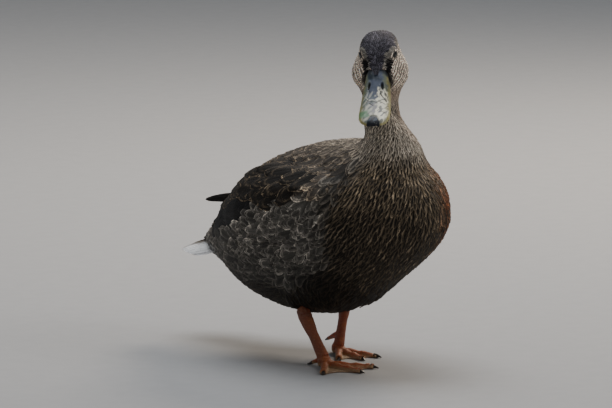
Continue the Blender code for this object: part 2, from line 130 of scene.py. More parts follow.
def square_to(ways, vectors):
    """The vectors turned square to the ways, as unit vectors."""
    return unit(vectors - (vectors * ways).sum(-1, keepdims=True) * ways)


def ripple(points, size, seed):
    """Smooth waves between about -1 and 1, with a typical width of size metres."""
    rng = np.random.default_rng(seed)
    ways = unit(rng.normal(size=(WAVES, 3))) * rng.uniform(0.7, 1.4, (WAVES, 1))
    phases = rng.uniform(0.0, 2.0 * np.pi, WAVES)
    return np.sin(points @ ways.T * (2.0 * np.pi / size) + phases).mean(1) * 2.0


def head_local(points):
    """Places in the head's own frame, from places in the world."""
    return points @ TO_HEAD[:3, :3].T + TO_HEAD[:3, 3]


def head_world(local):
    """Places in the world, from places in the head's own frame."""
    return local @ HEAD_TURN.T + np.array(HEAD_CENTRE)


def in_head(points):
    """Points in the head's own frame as side, ahead and up."""
    local = head_local(points)
    return local[:, 0], -local[:, 1], local[:, 2]


def line_at(value, stops):
    """A height read off a line of (place, height) stops."""
    places = [stop[0] for stop in stops]
    heights = [stop[1] for stop in stops]
    return np.interp(value, places, heights)


def painted(count, base, layers):
    """A colour for each point: the base, with each layer's share of its own colour laid over it."""
    paint = np.tile(linear(base), (count, 1))
    for share, colour in layers:
        paint = paint * (1.0 - share[:, None]) + share[:, None] * linear(colour)
    return paint


def in_scene(name, data):
    """A new object with this data, linked to the scene."""
    obj = bpy.data.objects.new(name, data)
    bpy.context.scene.collection.objects.link(obj)
    return obj


def new_object(name, verts, faces, rounded=False):
    mesh = bpy.data.meshes.new(name)
    mesh.from_pydata([tuple(v) for v in verts], [], [tuple(f) for f in faces])
    mesh.polygons.foreach_set("use_smooth", np.full(len(faces), rounded))
    mesh.update()
    return in_scene(name, mesh)


def quad_mesh(name, verts, quads):
    """A mesh from large arrays, made without Python loops."""
    mesh = bpy.data.meshes.new(name)
    mesh.vertices.add(len(verts))
    mesh.vertices.foreach_set("co", np.ascontiguousarray(verts, np.float32).ravel())
    mesh.loops.add(quads.size)
    mesh.loops.foreach_set("vertex_index", np.ascontiguousarray(quads, np.int32).ravel())
    mesh.polygons.add(len(quads))
    mesh.polygons.foreach_set("loop_start", np.arange(0, quads.size, 4, dtype=np.int32))
    mesh.polygons.foreach_set("use_smooth", np.ones(len(quads), bool))
    mesh.update(calc_edges=True)
    mesh.validate()
    return in_scene(name, mesh)


def surface(mesh):
    """The places and the normals of the mesh's vertices."""
    found = np.zeros((2, len(mesh.vertices) * 3), np.float32)
    mesh.vertices.foreach_get("co", found[0])
    mesh.vertices.foreach_get("normal", found[1])
    return found.reshape(2, -1, 3).astype(float)


def put_points(mesh, points):
    mesh.vertices.foreach_set("co", np.ascontiguousarray(points, np.float32).ravel())
    mesh.update()


def colour_layer(mesh, name, values):
    """A colour for each vertex, read by the materials."""
    layer = mesh.color_attributes.new(name, "FLOAT_COLOR", "POINT")
    full = np.ones((len(values), 4), np.float32)
    full[:, :3] = values
    layer.data.foreach_set("color", full.ravel())


def number_layer(mesh, name, values):
    """A number for each vertex, read by the materials."""
    layer = mesh.attributes.new(name, "FLOAT", "POINT")
    layer.data.foreach_set("value", np.ascontiguousarray(values, np.float32))


def swollen_copy(names, swell):
    """One mesh of several CAD nodes, each pushed out so that the thin cuts between them close."""
    verts = []
    faces = []
    for name in names:
        bm = bmesh.new()
        bm.from_mesh(NODES[name].data)
        bmesh.ops.remove_doubles(bm, verts=bm.verts, dist=1e-5)
        bm.normal_update()
        start = len(verts)
        for v in bm.verts:
            verts.append(v.co + v.normal * swell)
        bm.verts.index_update()
        for f in bm.faces:
            faces.append([start + v.index for v in f.verts])
        bm.free()
    return new_object("rough", verts, faces)


def remeshed(rough, name, voxel, rounds):
    """Voxel remesh, smoothing, and only the largest shell kept."""
    voxels = rough.modifiers.new("Voxels", "REMESH")
    voxels.mode = "VOXEL"
    voxels.voxel_size = voxel
    soften = rough.modifiers.new("Soften", "SMOOTH")
    soften.factor = 0.5
    soften.iterations = rounds
    bpy.context.view_layer.update()
    graph = bpy.context.evaluated_depsgraph_get()
    mesh = bpy.data.meshes.new_from_object(rough.evaluated_get(graph))
    bpy.data.objects.remove(rough)
    mesh.name = name
    bm = bmesh.new()
    bm.from_mesh(mesh)
    keep_largest(bm)
    bm.normal_update()
    bm.to_mesh(mesh)
    bm.free()
    mesh.polygons.foreach_set("use_smooth", np.ones(len(mesh.polygons), bool))
    return in_scene(name, mesh)


def keep_largest(bm):
    """Drop every shell of the mesh but the one with the most points."""
    seen = set()
    shells = []
    for seed in bm.verts:
        if seed in seen:
            continue
        shell = [seed]
        seen.add(seed)
        for v in shell:
            for e in v.link_edges:
                other = e.other_vert(v)
                if other not in seen:
                    seen.add(other)
                    shell.append(other)
        shells.append(shell)
    shells.sort(key=len)
    for shell in shells[:-1]:
        bmesh.ops.delete(bm, geom=shell, context="VERTS")


# ---- the plumage's regions ----
# spacing, length, width and depth in millimetres; centre and edge colour; edge share, bars, streaks
LOOKS = {
    "belly": (3.6, 16.0, 5.2, 2.2, (18, 15, 12), (84, 72, 58), 0.46, 0.0, 0.7),
    "breast": (2.5, 12.0, 3.8, 2.0, (26, 22, 18), (152, 134, 110), 0.50, 0.0, 0.7),
    "neck": (1.8, 8.0, 2.5, 1.3, (66, 57, 50), (226, 212, 192), 0.60, 0.0, 0.8),
    "nape": (1.9, 8.0, 2.8, 1.4, (44, 41, 39), (134, 124, 114), 0.5, 0.0, 1.0),
    "throat": (1.5, 5.5, 2.2, 1.0, (132, 114, 98), (206, 186, 166), 0.6, 0.0, 0.8),
    "cheek": (1.35, 3.6, 1.6, 0.9, (168, 154, 140), (244, 232, 216), 0.62, 0.0, 0.15),
    "crown": (1.3, 3.6, 1.5, 0.9, (33, 32, 38), (124, 120, 130), 0.4, 0.0, 0.6),
    "brow": (1.1, 3.0, 1.3, 0.8, (94, 90, 84), (204, 198, 186), 0.55, 0.0, 0.5),
    "lore": (1.3, 4.0, 1.5, 0.8, (10, 9, 10), (30, 28, 30), 0.4, 0.0, 0.5),
    "mantle": (4.0, 17.0, 8.0, 2.4, (64, 58, 52), (206, 184, 156), 0.30, 0.7, 0.0),
    "scapular": (6.0, 28.0, 12.0, 2.2, (30, 26, 23), (212, 184, 148), 0.24, 0.6, 0.0),
    "flank": (4.0, 19.0, 9.0, 2.6, (74, 71, 66), (208, 198, 184), 0.34, 0.9, 0.15),
    # the folded wing's rear: dark flight feathers, painted near black for the shade they lie in as well
    "wing": (8.0, 40.0, 14.0, 1.4, (2, 2, 3), (6, 6, 6), 0.14, 0.0, 0.0),
    "rump": (4.4, 19.0, 9.0, 2.4, (82, 77, 72), (198, 188, 172), 0.30, 0.4, 0.3),
    "vent": (4.4, 20.0, 6.5, 2.2, (44, 43, 42), (184, 184, 182), 0.50, 0.0, 0.8),
    "thigh": (2.4, 9.0, 3.6, 1.0, (26, 21, 17), (84, 70, 56), 0.5, 0.0, 0.8),
}

# lines between regions: ahead, height. The last three are in the head's own frame, and CROWN_WEDGE
# holds half widths instead of heights.
FLANK_TOP = ((-0.12, 0.098), (-0.075, 0.0985), (-0.060, 0.099), (-0.043, 0.1050), (-0.013, 0.1235),
             (0.007, 0.135), (0.023, 0.1463), (0.055, 0.156), (0.068, 0.168), (0.095, 0.1735))
SCAPULAR_FOOT = ((-0.070, 0.126), (-0.027, 0.138), (0.024, 0.153), (0.050, 0.163), (0.070, 0.172),
                 (0.090, 0.178))
BROW_LINE = ((-0.030, 0.0035), (-0.015, 0.0095), (-0.008, 0.0115), (0.005, 0.0136), (0.012, 0.0138),
             (0.016, 0.0120), (0.020, 0.0092), (0.026, 0.0040))
EYE_LINE = ((-0.030, -0.0015), (-0.015, 0.0045), (0.004, 0.0086), (0.010, 0.0090), (0.015, 0.0082),
            (0.019, 0.0050), (0.0215, -0.0010), (0.024, -0.0060), (0.027, -0.0110))
CROWN_WEDGE = ((-0.002, 0.0150), (0.002, 0.0122), (0.005, 0.0098), (0.010, 0.0074), (0.014, 0.0054),
               (0.018, 0.0038), (0.022, 0.0030), (0.026, 0.0024))


def regions(points, normals):
    """Soft shares of each region at the points, later ones laid over earlier ones."""
    x = points[:, 0]
    ahead = -points[:, 1]
    up = points[:, 2]
    side = np.abs(x)
    hx, ha, hz = in_head(points)
    shares = {}

    def lay(name, share):
        for other in shares:
            shares[other] = shares[other] * (1.0 - share)
        shares[name] = shares.get(name, 0.0) + share

    everywhere = np.ones(len(points))
    lay("belly", everywhere)
    lay("vent", smooth(-0.045, -0.075, ahead) * smooth(0.25, -0.2, normals[:, 2]))
    uneven = 0.006 * ripple(points, 0.012, 19)
    flank = smooth(0.116, 0.092, ahead + uneven) * smooth(0.046, 0.066, up + uneven)
    flank = flank * smooth(-0.62, -0.35, normals[:, 2])
    lay("flank", flank * smooth(-0.078, -0.062, ahead))
    rump = smooth(-0.058, -0.072, ahead) * smooth(-0.35, 0.0, normals[:, 2])
    lay("rump", rump)
    breast = smooth(0.096, 0.110, ahead + 0.15 * (0.12 - up) + 0.003 * ripple(points, 0.02, 6))
    lay("breast", breast)
    above = smooth(-0.003, 0.003, up - line_at(ahead - 0.027, FLANK_TOP)) * smooth(0.108, 0.098, ahead)
    outer = smooth(-0.085, -0.07, ahead) * smooth(0.0, 0.08, np.abs(normals[:, 0]))
    lay("wing", above * outer)
    high = smooth(-0.002, 0.004, up - line_at(ahead - 0.018, SCAPULAR_FOOT)) * smooth(0.098, 0.088, ahead)
    lay("scapular", high * smooth(-0.075, -0.06, ahead))
    middle = smooth(0.036, 0.026, side) * smooth(0.2, 0.5, normals[:, 2]) * smooth(-0.07, -0.05, ahead)
    front = smooth(0.055, 0.070, ahead) * smooth(0.150, 0.160, up) * smooth(-0.15, 0.1, normals[:, 2])
    limit = 0.098 + 0.10 * (up - 0.165) + 0.002 * ripple(points, 0.02, 4)
    lay("mantle", np.maximum(middle * smooth(0.14, 0.15, up), front) * smooth(0.004, -0.004, ahead - limit))
    lay("neck", smooth(0.176, 0.192, up))
    behind = smooth(0.005, -0.010, (ahead - 0.093)) * smooth(0.186, 0.20, up)
    lay("nape", behind)
    leg = np.zeros(len(points))
    for name in ("right", "left"):
        hip = np.array(LEG_HIPS[name])
        gap = np.hypot(x - hip[0], ahead - hip[1])
        leg = np.maximum(leg, smooth(0.020, 0.014, gap) * smooth(0.060, 0.050, up))
    lay("thigh", leg)
    face = smooth(0.030, 0.024, np.sqrt(hx**2 + (ha * 0.8) ** 2 + ((hz + 0.004) * 0.86) ** 2))
    face = np.maximum(face, smooth(0.002, 0.010, ha) * smooth(0.232, 0.238, up))
    lay("cheek", face)
    lay("throat", face * smooth(-0.0190, -0.0235, hz - 0.25 * ha))
    lay("nape", face * smooth(-0.013, -0.024, ha) * smooth(0.006, 0.0, hz))
    wedge = smooth(0.0010, -0.0010, np.abs(hx) - line_at(ha, CROWN_WEDGE)) * smooth(-0.004, 0.002, ha)
    brow = line_at(ha, BROW_LINE) - 0.03 * wedge
    eye = line_at(ha, EYE_LINE)
    wander = 0.0008 * ripple(points, 0.006, 3)
    wide = 0.0012 + 0.0022 * smooth(0.010, 0.018, ha)
    stripe = smooth(wide + 0.0014, wide, np.abs(hz - eye + 0.0008)) * smooth(-0.024, -0.018, ha)
    beside = smooth(0.0175, 0.0200, ha) * smooth(0.004, 0.0, hz) * smooth(-0.0185, -0.0145, hz)
    stripe = np.maximum(stripe * (0.10 + 0.90 * smooth(0.0105, 0.0140, ha)), 0.9 * beside)
    lay("lore", face * stripe)
    band = smooth(0.0026, 0.0012, np.abs(hz - brow + wander)) * smooth(-0.024, -0.006, ha)
    band = band * smooth(0.0060, 0.0085, np.abs(hx))
    edge = smooth(0.0040, 0.0028, np.abs(hx) - line_at(ha, CROWN_WEDGE)) * smooth(0.002, 0.006, ha)
    band = np.maximum(band, edge * smooth(0.0002, 0.0018, hz - eye))
    lay("brow", face * band * smooth(0.0235, 0.0200, ha))
    lay("crown", face * smooth(0.0010, 0.0030, hz - brow + wander))
    return shares


def looks(points, normals):
    """Region shares, sizes and markings at the points, with painted shade and backlight: the same ones for
    the skin and for the coat.
    """
    shares = regions(points, normals)
    sizes = np.zeros((len(points), 4))
    tone = np.zeros((len(points), 3))
    rim = np.zeros((len(points), 3))
    marks = np.zeros((len(points), 3))
    for name, share in shares.items():
        spacing, length, width, depth, centre, edge, part, bars, streaks = LOOKS[name]
        w = share[:, None]
        sizes += w * np.array([spacing, length, width, depth]) * MM
        tone += w * linear(centre)
        rim += w * linear(edge)
        marks += w * np.array([part, bars, streaks])
    near = eye_nearness(points)[:, None]
    sizes[:, :3] *= 1.0 - 0.45 * near
    sizes[:, 3:] *= 1.0 - 0.55 * near
    # Darker over the shoulders, low on the flanks and vent, and towards the bottom of the breast and belly,
    # where it is partly darker plumage and partly painted shade under the body.
    shoulders = (shares["mantle"] + shares["nape"]) * smooth(0.050, 0.070, -points[:, 1])
    shoulders = shoulders * smooth(0.176, 0.186, points[:, 2])
    low = smooth(0.178, 0.120, points[:, 2]) * (shares["breast"] + shares["belly"])
    low_flank = smooth(0.118, 0.076, points[:, 2]) * (shares["flank"] + 0.7 * shares["vent"])
    for dark, rim_cut, tone_cut in ((shoulders, 0.75, 0.3), (low, 0.62, 0.45), (low_flank, 0.58, 0.40)):
        rim = rim * (1.0 - rim_cut * dark)[:, None]
        tone = tone * (1.0 - tone_cut * dark)[:, None]
    # far side of the breast and throat: rusty plumage with a painted backlit glow laid over it
    rust_and_backlight = rust_and_backlight_share(points, shares)[:, None]
    rim = rim * (1.0 - rust_and_backlight) + rust_and_backlight * linear((178, 96, 48))
    tone = tone * (1.0 - 0.35 * rust_and_backlight) + 0.35 * rust_and_backlight * linear((80, 38, 16))
    return shares, sizes, tone, rim, marks


def eye_nearness(points):
    """Plumage gets finer towards the eyes: 1 at the lids, and 0 away from them."""
    local = head_local(points)
    near = np.zeros(len(points))
    for sign in SIGNS.values():
        gap = np.linalg.norm(local - eye_frame(sign)[0], axis=1)
        near = np.maximum(near, smooth(0.0110, 0.0055, gap))
    return near


def rust_and_backlight_share(points, shares):
    """The warm rusty tinge on the far side of the breast and throat: partly the plumage's own warm colour,
    partly a painted backlit glow.
    """
    offset = (points - np.array([0.036, -0.138, 0.152])) / np.array([0.026, 0.040, 0.044])
    left = smooth(1.25, 0.35, np.linalg.norm(offset, axis=1))
    left = left * (0.50 + 0.30 * ripple(points, 0.016, 17) + 0.30 * ripple(points, 0.006, 18))
    throat = smooth(0.0, 0.012, points[:, 0]) * smooth(0.19, 0.205, points[:, 2]) * 0.2
    return np.clip(left + throat, 0.0, 0.8) * np.clip(shares["breast"] + shares["neck"], 0.0, 1.0)


# columns in one turn round the body, and the spacing of the cheek's rows
BREAST_COLUMNS = 104.0
NECK_COLUMNS = 48.0
CHEEK_ROW = 0.0027


def streaks_at(points):
    """Columns of darker and paler plumage that run down the neck and breast, closer on the neck."""
    trunk = slice(HEAD_STOPS, -LEG_STOPS)
    near = nearness(points, SPINE_PATH[trunk], BODY_REACH)
    near = near / near.sum(1, keepdims=True)
    way = unit(near @ SPINE_WAYS[trunk])
    out = points - near @ SPINE_PATH[trunk]
    belly = np.stack([0.0 * way[:, 0], way[:, 2], -way[:, 1]], 1)
    round_it = np.arctan2(out[:, 0], (out * belly).sum(1))
    drift = 2.6 * ripple(points, 0.022, 8) + 0.8 * ripple(points, 0.008, 12)
    broken = 0.55 + 0.6 * ripple(points, 0.013, 13)
    far = smooth(0.022, 0.040, np.linalg.norm(out, axis=1))
    wide = np.cos(round_it * BREAST_COLUMNS + drift)
    narrow = np.cos(round_it * NECK_COLUMNS + drift)
    return (wide * far + narrow * (1.0 - far)) * broken - 0.15


def cheek_rows_at(points):
    """Fine wavy dark rows over the cheeks."""
    hx, ha, hz = in_head(points)
    level = hz * 0.80 + ha * 0.30 - np.abs(hx) * 0.50
    return np.sin(level * 2.0 * np.pi / CHEEK_ROW + 1.8 * ripple(points, 0.010, 9))


# ---- the lie of the feathers ----
# stops of the spine: from the head's centre towards the bill, and down each thigh as shares of it
HEAD_STEPS = (0.034, 0.022, 0.010, -0.002)
THIGH_SHARES = (0.5, 0.9)
HEAD_STOPS = len(HEAD_STEPS)
LEG_STOPS = 2 * len(THIGH_SHARES)


def spine_points():
    """Places and directions down the middle of the bird, from the bill to the tail, then the thighs."""
    back = HEAD.to_3x3() @ Vector((0.0, 1.0, 0.0))
    path = [tuple(HEAD_CENTRE - back * step) for step in HEAD_STEPS]
    path += [(x, -ahead, z) for x, ahead, z in SPINE]
    path = np.array(path)
    ways = unit(np.gradient(path, axis=0))
    ways[:2] = back
    for name in ("right", "left"):
        hip = np.array(LEG_HIPS[name])
        hock = np.array(LEG_HOCKS[name])
        for share in THIGH_SHARES:
            place = hip + (hock - hip) * share
            path = np.vstack([path, [(place[0], -place[1], place[2])]])
            ways = np.vstack([ways, unit(np.array([[0.0, -0.1, -1.0]]))])
    return path, ways


SPINE_PATH, SPINE_WAYS = spine_points()
# how far each stop of the spine counts
BODY_REACH = 0.026
HEAD_REACH = 0.015
LEG_REACH = 0.011
SPINE_REACH = np.full(len(SPINE_PATH), BODY_REACH)
SPINE_REACH[:HEAD_STOPS + 1] = HEAD_REACH
SPINE_REACH[-LEG_STOPS:] = LEG_REACH


def nearness(points, path, reach):
    """How much each stop of the path counts at the points, highest for the nearest stops."""
    gaps = np.linalg.norm(points[:, None, :] - path[None], axis=2)
    return np.exp(-((gaps / reach) ** 2) / 2.0 + (gaps.min(1, keepdims=True) / BODY_REACH) ** 2 / 2.0)


def lie(points, normals):
    """The way that feathers point on the skin, from the ways of the spine's nearest stops."""
    return square_to(normals, nearness(points, SPINE_PATH, SPINE_REACH) @ SPINE_WAYS)


# ---- the skin ----
# the lids' opening: half its length, how much flatter it is than long, and where feathers stop
LID_OUT = 0.0026
LID_SQUASH = 1.1
LID_CLEAR = 0.0029
# skin over the eyeball, the finer faces' distance from the eye, and the depth of the socket
LID_SKIN = 0.0003
LID_REACH = 0.0085
SOCKET_DEPTH = 0.0026
LORE_DEPTH = 0.0009
THROAT_SWELL = 0.0018
FLESH = ("head", "neck", "breast", "trunk", "rump", "thigh_left", "thigh_right")
SWELL = 0.0006
SKIN_VOXEL = 0.0018


def make_skin():
    """One skin over flesh and folded wings, as deep under the CAD's surface as the coat is thick."""
    rough = swollen_copy(FLESH + ("wing_left", "wing_right", "eye_left", "eye_right"), SWELL)
    skin = remeshed(rough, "skin", SKIN_VOXEL, 10)
    mesh = skin.data
    points, normals = surface(mesh)
    _, sizes, _, _, _ = looks(points, normals)
    points = points - normals * (sizes[:, 3:4] + SWELL)
    points = points + normals * throat_swell(points)[:, None]
    put_points(mesh, lore_groove(points, normals))
    finer_round_eyes(mesh)
    put_points(mesh, closed_lids(sunk_sockets(surface(mesh)[0])))
    points, normals = surface(mesh)
    _, _, tone, rim, _ = looks(points, normals)
    colour_layer(mesh, "tone", tone * 0.5 + rim * 0.2)
    return skin


def throat_swell(points):
    """The plumage stands a little fuller on the left of the throat, where the neck turns."""
    height = smooth(0.198, 0.210, points[:, 2]) * smooth(0.240, 0.230, points[:, 2])
    return THROAT_SWELL * height * smooth(0.004, 0.014, points[:, 0])


def eye_gap(local, sign):
    """Each place's distance from the eye's axis, ahead, up and together, and if it is on the outer side."""
    centre, axis, along, up = eye_frame(sign)
    offset = local - centre
    a = offset @ along
    b = offset @ up
    outside = (offset @ axis > -0.0005) & (np.linalg.norm(offset, axis=1) < 0.012)
    return a, b, np.hypot(a, b * LID_SQUASH), outside


def lore_groove(points, normals):
    """The face is hollow between the eye and the bill."""
    hx, ha, hz = in_head(points)
    groove = smooth(0.0045, 0.0, np.abs(hz - line_at(ha, EYE_LINE))) * smooth(0.0075, 0.0125, ha)
    groove = groove * smooth(0.002, 0.005, np.abs(hx)) * smooth(0.040, 0.034, np.hypot(ha, hz))
    return points - normals * (LORE_DEPTH * groove)[:, None]


def sunk_sockets(points):
    """The skin draws in at each eye, so that the ball sits in a socket."""
    local = head_local(points)
    for sign in SIGNS.values():
        _, axis, _, _ = eye_frame(sign)
        _, _, gap, outside = eye_gap(local, sign)
        share = smooth(LID_OUT * 1.06, LID_OUT * 0.84, gap) * outside
        local = local - axis * (share * SOCKET_DEPTH)[:, None]
    return head_world(local)


def finer_round_eyes(mesh):
    """Smaller faces round each eye, so that the skin can close on it as a lid."""
    bm = bmesh.new()
    bm.from_mesh(mesh)
    for sign in SIGNS.values():
        middle = Vector(head_world(eye_frame(sign)[0][None])[0])
        close = [e for e in bm.edges if all((v.co - middle).length < LID_REACH for v in e.verts)]
        bmesh.ops.subdivide_edges(bm, edges=close, cuts=2, use_grid_fill=True, smooth=0.5)
    bm.to_mesh(mesh)
    bm.free()


def closed_lids(points):
    """Outside the opening the skin lies on the eyeball."""
    local = head_local(points)
    for sign in SIGNS.values():
        centre = eye_frame(sign)[0]
        _, _, gap, outside = eye_gap(local, sign)
        offset = local - centre
        reach = np.linalg.norm(offset, axis=1)
        least = BALL_RADIUS + LID_SKIN
        lift = outside & (gap > LID_OUT * 0.95) & (reach < least)
        pushed = centre + offset * (least / np.maximum(reach, 1e-6))[:, None]
        local = np.where(lift[:, None], pushed, local)
    return head_world(local)


def skin_tree(mesh):
    """The skin's faces for finding the nearest place, and each face's smoothed normal."""
    points, normals = surface(mesh)
    faces = [tuple(p.vertices) for p in mesh.polygons]
    smoothed = unit(np.array([normals[list(face)].mean(0) for face in faces]))
    return BVHTree.FromPolygons([tuple(p) for p in points], faces), smoothed


skin = make_skin()
TREE, FACE_NORMALS = skin_tree(skin.data)


def to_skin(points):
    """The nearest places on the skin, and the smoothed normals there."""
    flat = points.reshape(-1, 3)
    places = np.empty_like(flat)
    found = np.empty(len(flat), int)
    for i, p in enumerate(flat.tolist()):
        place, _, face, _ = TREE.find_nearest(p)
        places[i] = place
        found[i] = face
    return places.reshape(points.shape), FACE_NORMALS[found].reshape(points.shape)


# ---- the point of feathers on the bill ----
# the feathers that run out on the bill, and the bill's top there: ahead, height
POINT_START = 0.0185
POINT_END = 0.0300
POINT_HALF = 0.0048
BILL_TOP = ((POINT_START, 0.0066), (0.020, 0.0060), (0.027, 0.0044), (0.037, -0.0006))


def bill_point_roots():
    """Roots of the feathers that run out in a point on the top of the bill."""
    rng = np.random.default_rng(29)
    rows = []
    for ahead in np.arange(POINT_START, POINT_END, 0.00085):
        half = (POINT_END - ahead) / (POINT_END - POINT_START) * POINT_HALF + 0.0008
        for side in np.arange(-half, half + 0.0001, 0.0010):
            rows.append((side, ahead))
    rows = np.array(rows)
    jitter = rng.normal(0.0, 0.0002, rows.shape)
    side, ahead = (rows + jitter).T
    top = line_at(ahead, BILL_TOP) - 40.0 * side**2
    local = np.stack([side, -ahead, top], 1)
    normal = np.tile([0.0, -0.42, 0.91], (len(rows), 1))
    normal[:, 0] = side * 60.0
    return head_world(local), unit(normal) @ HEAD_TURN.T


def straight(roots, normals, lengths, widths, depths, rows, columns, sharp):
    """Small vanes laid straight back from their roots, where there is no skin to walk over."""
    along = vane_rows(rows)
    across = np.linspace(-1.0, 1.0, columns)
    way = lie(roots, normals)
    side = unit(np.cross(normals, way))
    line = roots[:, None] + way[:, None] * (lengths[:, None] * along)[..., None]
    half = (widths[:, None] * outline(along, sharp)[None] / 2.0)[..., None] * across
    rise = (depths[:, None] * (0.15 + 0.85 * along))[..., None] * (1.0 - 0.3 * across**2)
    spread = side[:, None, None] * half[..., None]
    return line[:, :, None] + spread + normals[:, None, None] * rise[..., None]


# ---- the feathers' roots ----
ROOT_SEED = 11
# places tried for each root that is wanted
CANDIDATES = 7.0


def scatter():
    """Roots spread evenly over the skin, each keeping its own region's distance from the next."""
    mesh = skin.data
    mesh.calc_loop_triangles()
    tris = np.zeros(len(mesh.loop_triangles) * 3, np.int32)
    mesh.loop_triangles.foreach_get("vertices", tris)
    tris = tris.reshape(-1, 3)
    points, normals = surface(mesh)
    _, sizes, _, _, _ = looks(points, normals)
    corners = points[tris]
    across = np.cross(corners[:, 1] - corners[:, 0], corners[:, 2] - corners[:, 0])
    areas = np.linalg.norm(across, axis=1) / 2.0
    spacing = sizes[tris, 0].mean(1)
    wanted = areas / spacing**2
    rng = np.random.default_rng(ROOT_SEED)
    count = int(wanted.sum() * CANDIDATES)
    picks = rng.choice(len(tris), count, p=wanted / wanted.sum())
    a = np.sqrt(rng.random((count, 1)))
    b = rng.random((count, 1))
    c = corners[picks]
    places = (1.0 - a) * c[:, 0] + a * (1.0 - b) * c[:, 1] + a * b * c[:, 2]
    gaps = spacing[picks]
    tree = KDTree(count)
    for i, p in enumerate(places.tolist()):
        tree.insert(p, i)
    tree.balance()
    free = np.ones(count, bool)
    kept = []
    for i, p in enumerate(places.tolist()):
        if free[i]:
            kept.append(i)
            for _, j, _ in tree.find_range(p, gaps[i]):
                free[j] = False
    return places[kept]


# ---- feathers as vanes ----
# how far a barb runs towards the tip for each step outwards, and the barbs' spacing in millimetres
BARB_SLANT = 0.8
BARB_SPACING = 0.8


def outline(along, sharp):
    """Half width along a vane as a share of its widest, rounded or narrowed at the tip."""
    swell = 0.45 + 0.55 * smooth(0.0, 0.5, along)
    tip = np.clip((along - 0.60) / 0.40, 0.0, 1.0)
    round_off = np.sqrt(np.maximum(1.0 - tip**2.2, 0.0))
    pointed = 1.0 - tip**1.3
    return swell * (round_off * (1.0 - sharp) + pointed * sharp) + 0.05 * (along >= 1.0)


def grid_faces(count, rows, columns):
    """The four-sided faces of many vanes, each a grid of rows and columns."""
    row, column = np.meshgrid(np.arange(rows - 1), np.arange(columns - 1), indexing="ij")
    first = (row * columns + column).ravel()
    quad = np.stack([first, first + 1, first + columns + 1, first + columns], 1)
    starts = np.arange(count)[:, None, None] * rows * columns
    return (quad[None] + starts).reshape(-1, 4)


STOP_GAP = 0.04
# side of each feather's square on the unwrap, as a share of the whole
PATCH = 0.003


def bake_places(roots):
    """A free square for each feather on an unwrap of the body: bill to tail across, round it upwards."""
    gaps = np.linalg.norm(roots[:, None, :] - SPINE_PATH[None, :-LEG_STOPS], axis=2)
    stop = gaps.argmin(1)
    out = roots - SPINE_PATH[stop]
    along = stop + (out * SPINE_WAYS[stop]).sum(1) / STOP_GAP
    round_it = np.arctan2(out[:, 0], out[:, 2] + out[:, 1] * 0.3)
    count = len(roots)
    lanes = int(math.ceil(math.sqrt(count)))
    order = np.argsort(along)
    spots = np.zeros((count, 2))
    for lane in range(lanes):
        members = order[lane * lanes : (lane + 1) * lanes]
        members = members[np.argsort(round_it[members])]
        spots[members, 0] = (lane + 0.5) / lanes
        spots[members, 1] = (np.arange(len(members)) + 0.5) / lanes
    return spots


def vane_mesh(name, places, lengths, widths, tone, rim, marks, roots, drawn=None):
    """One mesh of many vanes, from their points as an array of feather, row, column."""
    count, rows, columns = places.shape[:3]
    obj = quad_mesh(name, places.reshape(-1, 3), grid_faces(count, rows, columns))
    mesh = obj.data
    each = rows * columns
    shade = 1.0 if drawn is None else np.exp(drawn)[:, None]
    colour_layer(mesh, "tone", np.repeat(tone, each, 0) * shade)
    colour_layer(mesh, "rim", np.repeat(rim, each, 0) * shade)
    colour_layer(mesh, "marks", np.repeat(marks, each, 0))
    across = np.linspace(-1.0, 1.0, columns)
    along = vane_rows(rows)
    barb = along[None, :, None] * lengths[:, None, None]
    barb = barb + BARB_SLANT * np.abs(across)[None, None, :] * widths[:, None, None] / 2.0
    barb = barb * np.clip(0.014 / lengths, 1.0, 3.0)[:, None, None]
    start = np.random.default_rng(count).uniform(0.0, 400.0, count)[:, None, None]
    number_layer(mesh, "barb", np.broadcast_to(barb / MM + start, (count, rows, columns)).ravel())
    loops = np.zeros(len(mesh.loops), np.int32)
    mesh.loops.foreach_get("vertex_index", loops)
    u = np.broadcast_to((across + 1.0) / 2.0, (count, rows, columns)).ravel()
    v = np.broadcast_to(along[None, :, None], (count, rows, columns)).ravel()
    vane = mesh.uv_layers.new(name="Vane")
    vane.data.foreach_set("uv", np.stack([u[loops], v[loops]], 1).astype(np.float32).ravel())
    spots = np.repeat(bake_places(roots), each, 0)
    patch = spots + (np.stack([u, v], 1) - 0.5) * PATCH
    bake = mesh.uv_layers.new(name="OFBake")
    bake.data.foreach_set("uv", patch[loops].astype(np.float32).ravel())
    bake.active_render = True
    mesh.materials.append(PLUMAGE)
    return obj


def vane_rows(rows):
    """Places of a vane's rows from root to tip, closer together towards the tip."""
    even = np.linspace(0.0, 1.0, rows)
    return 1.0 - (1.0 - even) ** 1.25


def walked(roots, normals, lengths, widths, depths, rows, columns, sharp, seed, sway):
    """Vanes laid over the skin: each is walked back along the lie, then spread to its sides."""
    rng = np.random.default_rng(seed)
    count = len(roots)
    along = vane_rows(rows)
    across = np.linspace(-1.0, 1.0, columns)
    turn = np.radians(rng.normal(0.0, sway, count))[:, None]
    here = roots.copy()
    up = normals.copy()
    rise = depths * rng.uniform(0.78, 1.12, count)
    twist = rng.normal(0.0, 0.10, count)
    ragged = rng.uniform(-0.06, 0.06, (count, columns)) * (np.abs(across) < 0.99)
    result = np.zeros((count, rows, columns, 3))
    for k in range(rows):
        way = lie(here, up)
        side = unit(np.cross(up, way))
        way = way * np.cos(turn) + side * np.sin(turn)
        side = unit(np.cross(up, way))
        half = widths * outline(along[k], sharp) / 2.0
        spread = here[:, None, :] + side[:, None, :] * (half[:, None] * across[None])[..., None]
        spread = spread + way[:, None, :] * (ragged * lengths[:, None] * (along[k] ** 4))[..., None]
        flat, lift = to_skin(spread)
        high = rise * (0.10 + 0.90 * along[k] ** 0.8)
        camber = 1.0 - 0.35 * across[None] ** 2 + twist[:, None] * across[None]
        result[:, k] = flat + lift * (high[:, None] * camber)[..., None]
        if k + 1 < rows:
            step = lengths * (along[k + 1] - along[k])
            here, up = to_skin(here + way * step[:, None])
    return result


